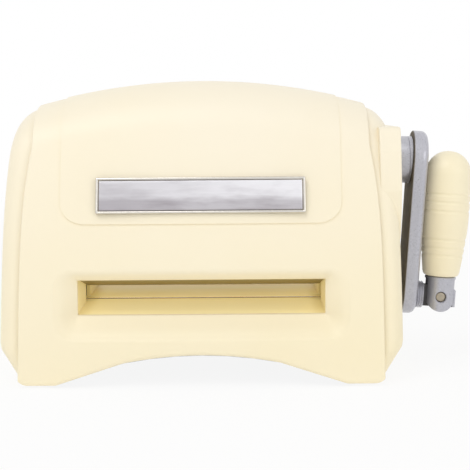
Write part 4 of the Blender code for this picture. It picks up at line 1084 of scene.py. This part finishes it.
def makeFeet():
    stem, stemEdge, stemSoft, top, edge, soft, ring = foot.values()
    for node in [name for name in frame["nodes"] if name.startswith("foot_")]:
        low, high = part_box(node)
        centre = (low + high) / 2
        radius = (high.x - low.x) / 2
        path = [(0, high.z), (stem - stemEdge, high.z), (stem, high.z - stemSoft), (stem, top),
                (radius - edge, top), (radius, top - edge), (radius, soft), (radius - soft, 0),
                (radius - ring, 0), (radius - ring - stemEdge, soft), (0, soft)]
        newPiece(node, spun(path, 64), "rubber", "housing", 40, Matrix.Translation((centre.x, centre.y, 0)))


makeFeet()


crank = {
    "armLength": 90.8 * mm,
    "reach": 26.1 * mm,  # folding pin from the inner face of the arm
    "bigRadius": 19.5 * mm,
    "smallRadius": 17 * mm,
    "lowCentre": 87 * mm,
    "topThick": 10 * mm,
    "lowThick": 9.8 * mm,
    "outerEdge": 4.3 * mm,
    "innerEdge": 1.0 * mm,
    "spigotBore": 5.1 * mm,
    "spigotSeat": 0.6 * mm,
    "stemBore": 2.9 * mm,
    "headGap": 0.35 * mm,
    "holeEdge": 0.3 * mm,
    "paintEdge": 0.6 * mm,
    "ringsEnd": 14.7 * mm,  # outer end of the knuckle's rings
}
screw = {"radius": 5.5 * mm, "edge": 0.5 * mm, "drop": 2.6 * mm, "head": 2.3 * mm, "stem": 2.5 * mm,
         "length": 12 * mm, "socket": 2.6 * mm, "socketDepth": 1.6 * mm}
hub = {"radius": 15.7 * mm, "bore": 5.8 * mm, "start": pad["face"] + 0.3 * mm, "inArm": 6 * mm,
       "ringGap": 1.6 * mm, "groove": 0.35 * mm, "grooveHalf": 0.3 * mm, "edge": 0.9 * mm,
       "edgeIn": 0.25 * mm, "edgeUp": 0.3 * mm, "trim": -0.3 * mm}
alongArm = Vector((-math.sin(lean), 0, -math.cos(lean)))
outOfArm = Vector((math.cos(lean), 0, -math.sin(lean)))
armRoot = foldPin - alongArm * crank["armLength"] - outOfArm * crank["reach"]
armPlace = Matrix.Translation(armRoot) @ Matrix.Rotation(math.pi / 2 + lean, 4, "Y")
pinPlace = armPlace @ Matrix.Translation((crank["armLength"], 0, 0))
foldPlace = Matrix.Translation(foldPin) @ Matrix.Rotation(lean, 4, "Y")
alongPin = foldPlace @ Matrix.Rotation(math.pi / 2, 4, "X")


def armThick(along):
    return between(crank["topThick"], crank["lowThick"], along / crank["armLength"])


def makeHub():
    radius, bore, start = hub["radius"], hub["bore"], hub["start"]
    half, edge = hub["grooveHalf"], hub["edge"]
    end = armRoot.x - midX + hub["inArm"]
    ring = armRoot.x - midX - hub["ringGap"]  # fine groove before the arm
    path = [(bore, end), (radius, end), (radius, ring), (radius - hub["groove"], ring - half),
            (radius, ring - 2 * half), (radius, start + edge),
            (radius - hub["edgeIn"], start + hub["edgeUp"]), (radius - edge, start), (bore, start)]
    item = newPiece("crank_hub", spun(path, 128, True), "silver", "crank", 30, alongX((midX, 0, crankZ)))
    cutBy(item, [shifted(block(far, far, hub["trim"], far), armPlace)])


def silverWithPaintedShade(start, end, soft, dark, light):
    # silver paint with painted shade between two heights over the arm's inner face: a dark mottled tone, less
    # metallic, rougher and without coat
    def build(s):
        sockets = {0: s.place(), 1: tuple(outOfArm)}
        along = s.node("ShaderNodeVectorMath", {"operation": "DOT_PRODUCT"}, sockets, "Value")
        along = along - armRoot.dot(outOfArm)
        paintedShade = s.ramp(along, start, start + crank["paintEdge"]) * (1 - s.ramp(along, end - soft, end))
        shadeMottle = s.noise(240, 4)
        values = silverPaint(s)
        shadeTone = s.mix(s.ramp(shadeMottle, 0.3, 0.7), shade(dark), shade(light))
        values["Base Color"] = s.mix(paintedShade, values["Base Color"], shadeTone)
        values["Metallic"] = 0.55 - paintedShade * 0.45
        values["Roughness"] = values["Roughness"] + paintedShade * 0.3
        values["Coat Weight"] = 0.25 - paintedShade * 0.25
        return values
    return build


reach = crank["reach"]
# painted shade on the arm's inner face, on the knuckle past its rings and on the fork's side towards the arm
for key, start, end, soft, dark, light in (
        ("arm", -3 * mm, 1 * mm, 0.8 * mm, (74, 66, 52), (98, 88, 70)),
        ("knuckle", crank["ringsEnd"], reach + 9 * mm, 0.6 * mm, (46, 44, 44), (70, 68, 68)),
        ("fork", -3 * mm, reach - 4 * mm, 6 * mm, (66, 65, 67), (92, 91, 93))):
    addFinish(key, "silver_paint", key + "Paint", silverWithPaintedShade(start, end, soft, dark, light))


def makeArm():
    big, small, length = crank["bigRadius"], crank["smallRadius"], crank["lowCentre"]
    taper = math.degrees(math.asin((big - small) / length))
    outerEdge, innerEdge = crank["outerEdge"], crank["innerEdge"]
    # inset of the outline, height from one face, whether from the outer face
    layers = [(innerEdge * (1 - sine), innerEdge * (1 - cosine), 0) for sine, cosine in quarter(4)]
    layers += [(outerEdge * (1 - cosine), -outerEdge * (1 - sine), 1) for sine, cosine in quarter(10)]
    rows = []
    for inset, height, outer in layers:
        outline = sweep((0, 0), big - inset, 90 - taper, 270 + taper, 56)
        outline += sweep((length, 0), small - inset, taper - 90, 90 - taper, 40)
        rows.append([(x, y, height + outer * armThick(x)) for x, y in outline])
    form, points = gridForm(rows, wrap=True)
    form.faces.new(points[0][::-1])
    form.faces.new(points[-1])
    faceOut(form)
    item = newPiece("crank_arm", form, "arm", "crank", 0, armPlace)
    head, stem = screw["radius"] + crank["headGap"], crank["stemBore"]
    seat = crank["topThick"] - screw["drop"]
    hole = spun([(0, far), (head, far), (head, seat), (stem, seat), (stem, -far), (0, -far)], 64)
    spigot = bar(crank["spigotBore"], crank["spigotSeat"])
    cutBy(item, [shifted(hole, armPlace), shifted(spigot, pinPlace)])
    softEdges(item, crank["holeEdge"], 2, 50)


def makeArmScrew():
    radius, edge, stem = screw["radius"], screw["edge"], screw["stem"]
    top = crank["topThick"]
    under, end = top - screw["head"], top - screw["length"]
    path = [(0, top), (radius - edge, top), (radius, top - edge), (radius, under), (stem, under),
            (stem, end), (0, end)]
    item = newPiece("crank_screw", spun(path, 96), "steel", "crank", 30, armPlace)
    hexagon = slab(sweep((0, 0), screw["socket"], 0, 300, 5), top - screw["socketDepth"], far)
    cutBy(item, [shifted(hexagon, armPlace)])


makeHub()
makeArm()
makeArmScrew()
print("crank made")


knuckle = {"radius": 9.2 * mm, "groove": 0.6 * mm, "length": 4.5 * mm, "lands": 3, "edge": 0.5 * mm,
           "gap": 0.3 * mm, "spigot": 4.8 * mm, "spigotEnd": 0.9 * mm, "bore": 3.65 * mm,
           "halfTall": 7 * mm, "halfThick": 4.8 * mm, "beyond": 10.5 * mm, "chamfer": 2.8 * mm}


def makeKnuckle():
    length, radius, groove, edge = knuckle["length"], knuckle["radius"], knuckle["groove"], knuckle["edge"]
    spigot, spigotEnd = knuckle["spigot"], knuckle["spigotEnd"]
    start = armThick(crank["armLength"] - radius) + knuckle["gap"]
    end = start + length
    path = [(0, spigotEnd), (spigot, spigotEnd), (spigot, start), (radius - edge, start)]
    count = 30
    for step in range(1, count):
        share = step / count
        wave = math.sin(share * math.pi * knuckle["lands"]) ** 2
        path.append((radius - groove * (1 - wave), start + length * share))
    path += [(radius - edge, end), (0, end)]
    item = newPiece("handle_knuckle", spun(path[::-1], 96), "knuckle", "crank", 40, pinPlace)
    tall, thick = knuckle["halfTall"], knuckle["halfThick"]
    # tongue with one corner cut off, where the fork's bridge passes over it
    root, tip, chamfer = end - edge, crank["reach"] + knuckle["beyond"], knuckle["chamfer"]
    outline = [(-tall, -root), (-tall, chamfer - tip), (chamfer - tall, -tip), (tall, -tip), (tall, -root)]
    tongue = shifted(slab(outline, -thick, thick), Matrix.Rotation(-math.pi / 2, 4, "X"))
    cutBy(item, [shifted(tongue, pinPlace)], "UNION")
    cutBy(item, [shifted(bar(knuckle["bore"]), alongPin)])


fork = {"offset": 0.2 * mm, "radius": 10.4 * mm, "half": 10.3 * mm, "end": 9.9 * mm, "low": 11.7 * mm,
        "high": 13.4 * mm, "edge": 0.5 * mm, "soft": 0.45 * mm, "spare": 6 * mm, "gap": 0.3 * mm,
        "bore": 3.6 * mm, "mouth": 4.05 * mm, "mouthDepth": 1.2 * mm}
pin = {"radius": 3.35 * mm, "edge": 0.5 * mm, "sink": 1.6 * mm, "crown": 0.15 * mm, "crownEdge": 0.1 * mm}
gripPlace = foldPlace @ Matrix.Translation((fork["offset"], 0, 0))


def makeFork():
    radius, half, low, high, spare = fork["radius"], fork["half"], fork["low"], fork["high"], fork["spare"]
    edge, end = fork["edge"], -fork["end"] - spare
    stock = spun([(0, high), (radius - edge, high), (radius, high - edge), (radius, end), (0, end)], 96)
    item = newPiece("handle_fork", stock, "fork", "folding_handle", 30, gripPlace)
    wide, top = radius + spare, high + spare
    outline = sweep((-fork["offset"], 0), fork["end"], 180, 360, 40)
    outline += [(wide, low), (wide, top), (-wide, top), (-wide, low)]
    side = shifted(slab(outline, -half, half), gripPlace @ Matrix.Rotation(math.pi / 2, 4, "X"))
    cutBy(item, [side], "INTERSECT")
    room = block(2 * radius, knuckle["halfThick"] + fork["gap"], -2 * radius, low)
    bore, mouth, depth = fork["bore"], fork["mouth"], half - fork["mouthDepth"]
    hole = spun([(0, far), (mouth, far), (mouth, depth), (bore, depth), (bore, -depth), (mouth, -depth),
                 (mouth, -far), (0, -far)], 64)
    cutBy(item, [shifted(room, gripPlace), shifted(hole, alongPin)])
    softEdges(item, fork["soft"], 3, 38)


def makePin():
    radius, edge, half = pin["radius"], pin["edge"], fork["half"] - pin["sink"]
    path = [(0, half + pin["crown"]), (radius * 0.6, half + pin["crownEdge"]), (radius - edge, half),
            (radius, half - edge)]
    path += [(x, -height) for x, height in reversed(path)]
    newPiece("fold_pin", spun(path, 64), "pin", "crank", 40, alongPin)


makeKnuckle()
makeFork()
makePin()
print("knuckle and fork made")


grip = {
    "start": fork["high"] + 0.3 * mm,
    "length": 84.3 * mm,
    "dome": 16 * mm,
    # share of the length from the bottom, and radius
    "barrel": ((0, 12.2 * mm), (0.058, 12.7 * mm), (0.154, 13.8 * mm), (0.25, 14.6 * mm),
               (0.346, 15.4 * mm), (0.433, 15.8 * mm), (0.528, 15.9 * mm), (0.67, 15.8 * mm),
               (0.81, 15.4 * mm), (0.9, 14.9 * mm)),
    "grooves": (0.1725, 0.231, 0.298, 0.5255, 0.597, 0.658),
    "grooveDepth": 0.45 * mm,
    "grooveWidth": 1.5 * mm,
    "rim": 2.4 * mm,
    "bore": 3.9 * mm,
    "boreEnd": 20 * mm,  # below the top
    "domeShape": 0.94,
}


def gripRadius(share):
    # a smooth curve through the marks
    marks = grip["barrel"]
    index = max(place for place, (low, _) in enumerate(marks[:-1]) if share >= low)
    (low, first), (high, last) = marks[index], marks[index + 1]
    slopes = []
    for place in (index, index + 1):
        before, after = marks[max(place - 1, 0)], marks[min(place + 1, len(marks) - 1)]
        slopes.append((after[1] - before[1]) / (after[0] - before[0]) * (high - low))
    part = shareOf(share, low, high)
    return (between(first, last, ease(part)) + slopes[0] * part * (1 - part) ** 2
            - slopes[1] * part ** 2 * (1 - part))


def makeGrip():
    start, length, dome, rim = grip["start"], grip["length"], grip["dome"], grip["rim"]
    widest = length - dome
    bore, boreEnd = grip["bore"], start + length - grip["boreEnd"]
    path = [(bore, start)]
    path += [(gripRadius(0) - rim * (1 - sine), start + rim * (1 - cosine)) for sine, cosine in quarter(6)]
    count = 240
    for step in range(count):
        height = between(rim * 1.2, widest, step / count)
        dip = 0
        for groove in grip["grooves"]:
            away = abs(height - groove * length) / grip["grooveWidth"]
            if away < 1:
                dip = max(dip, (1 - away * away) ** 2)
        path.append((gripRadius(height / length) - grip["grooveDepth"] * dip, start + height))
    path += [(gripRadius(widest / length) * cosine ** grip["domeShape"], start + widest + dome * sine)
             for sine, cosine in quarter(24)]
    path[-1] = (0, start + length)
    inner = [(0, boreEnd), (bore, boreEnd)]
    newPiece("grip", spun(path[::-1] + inner[::-1], 128), "grip", "grip", 30, gripPlace)


makeGrip()
print("grip made")


# words in the names of the CAD nodes that stay, and the finish they call for
keptFinishes = {"gear": "acetal", "pinion": "acetal", "bush": "bronze", "base_pan": "zinc",
                "frame_plate": "zinc"}


def dressNodes():
    count = 0
    for name, item in frame["nodes"].items():
        if item.hide_render:
            continue
        finish = next((kept for word, kept in keptFinishes.items() if word in name), "steel")
        item.data.materials.clear()
        item.data.materials.append(finishes[finish])
        for face in item.data.polygons:
            face.material_index = 0
        smooth(item.data, 28)
        count += 1
    print("kept CAD nodes:", count)


dressNodes()


studio = {
    "floorSize": 14.0,
    "paper": (0.9, 0.895, 0.885),
    "paperGlow": 0.88,  # share of plain white in what the camera sees of the floor
    "paperReach": (0.3, 1.6),  # where the rest fades out, in metres
    "world": 0.67,  # even light from all round
    "tableShare": 0.12,  # part of the floor that glows, for light from below
    "tableGlow": 2.2,
    "aim": (0, 0, 0.09),
}
lamps = {
    "key": {"place": (-0.65, -0.9, 1.7), "power": 10.5, "size": 1.3},
    "fill": {"place": (1.3, -1.3, 0.7), "power": 3.8, "size": 1.2},
}


def makeFloor():
    half = studio["floorSize"] / 2
    floor = addMesh("floor", gridForm([[(x, y, 0) for x in (-half, half)] for y in (-half, half)])[0])
    paper = bpy.data.materials.new("paperFloor")
    s = Shader(paper)
    seen = s.seen()
    plain = s.node("ShaderNodeBsdfDiffuse", {}, {"Color": studio["paper"]})
    under, over = [s.node("ShaderNodeEmission", {}, {"Color": (1.0, 1.0, 1.0), "Strength": strength})
                   for strength in (studio["tableGlow"], 1.0)]
    white = s.node("ShaderNodeMixShader", {}, {0: seen, 1: under, 2: over})
    reach = s.node("ShaderNodeVectorMath", {"operation": "LENGTH"}, {0: s.place()}, "Value")
    table, near = studio["tableShare"], studio["paperGlow"]
    share = table + seen * (near - table + s.ramp(reach, *studio["paperReach"]) * (1 - near))
    s.output("ShaderNodeOutputMaterial", s.node("ShaderNodeMixShader", {}, {0: share, 1: plain, 2: white}))
    floor.data.materials.append(paper)


def makeWorld():
    world = bpy.data.worlds.new("studio")
    bpy.context.scene.world = world
    s = Shader(world)
    strength = studio["world"] + (1 - studio["world"]) * s.seen()
    light = s.node("ShaderNodeBackground", {}, {"Color": (1.0, 1.0, 1.0), "Strength": strength})
    s.output("ShaderNodeOutputWorld", light)


def makeLamp(name, place, power, size):
    lamp = bpy.data.lights.new(name, "AREA")
    lamp.energy = power
    lamp.shape = "DISK"
    lamp.size = size
    item = addItem(name, lamp)
    item.location = place
    aim = Vector(studio["aim"]) - Vector(place)
    item.rotation_euler = aim.to_track_quat("-Z", "Y").to_euler()


camera = {"place": (midX + 21.4 * mm, -864.5 * mm, 173.9 * mm), "pitch": 5.78, "roll": -0.43,
          "focalPixels": 1284.6, "photoPixels": 470, "sensor": 36}


def makeCamera():
    lens = bpy.data.cameras.new("camera")
    lens.lens = camera["focalPixels"] / camera["photoPixels"] * camera["sensor"]
    lens.sensor_width = camera["sensor"]
    item = addItem("camera", lens)
    turn = Matrix.Rotation(math.radians(90 - camera["pitch"]), 4, "X")
    turn = turn @ Matrix.Rotation(math.radians(camera["roll"]), 4, "Z")
    item.matrix_world = Matrix.Translation(camera["place"]) @ turn
    bpy.context.scene.camera = item


makeFloor()
makeWorld()
for name, lamp in lamps.items():
    makeLamp(name, **lamp)
makeCamera()
bpy.context.scene.view_settings.view_transform = "Standard"
print("studio made")

bpy.context.view_layer.update()
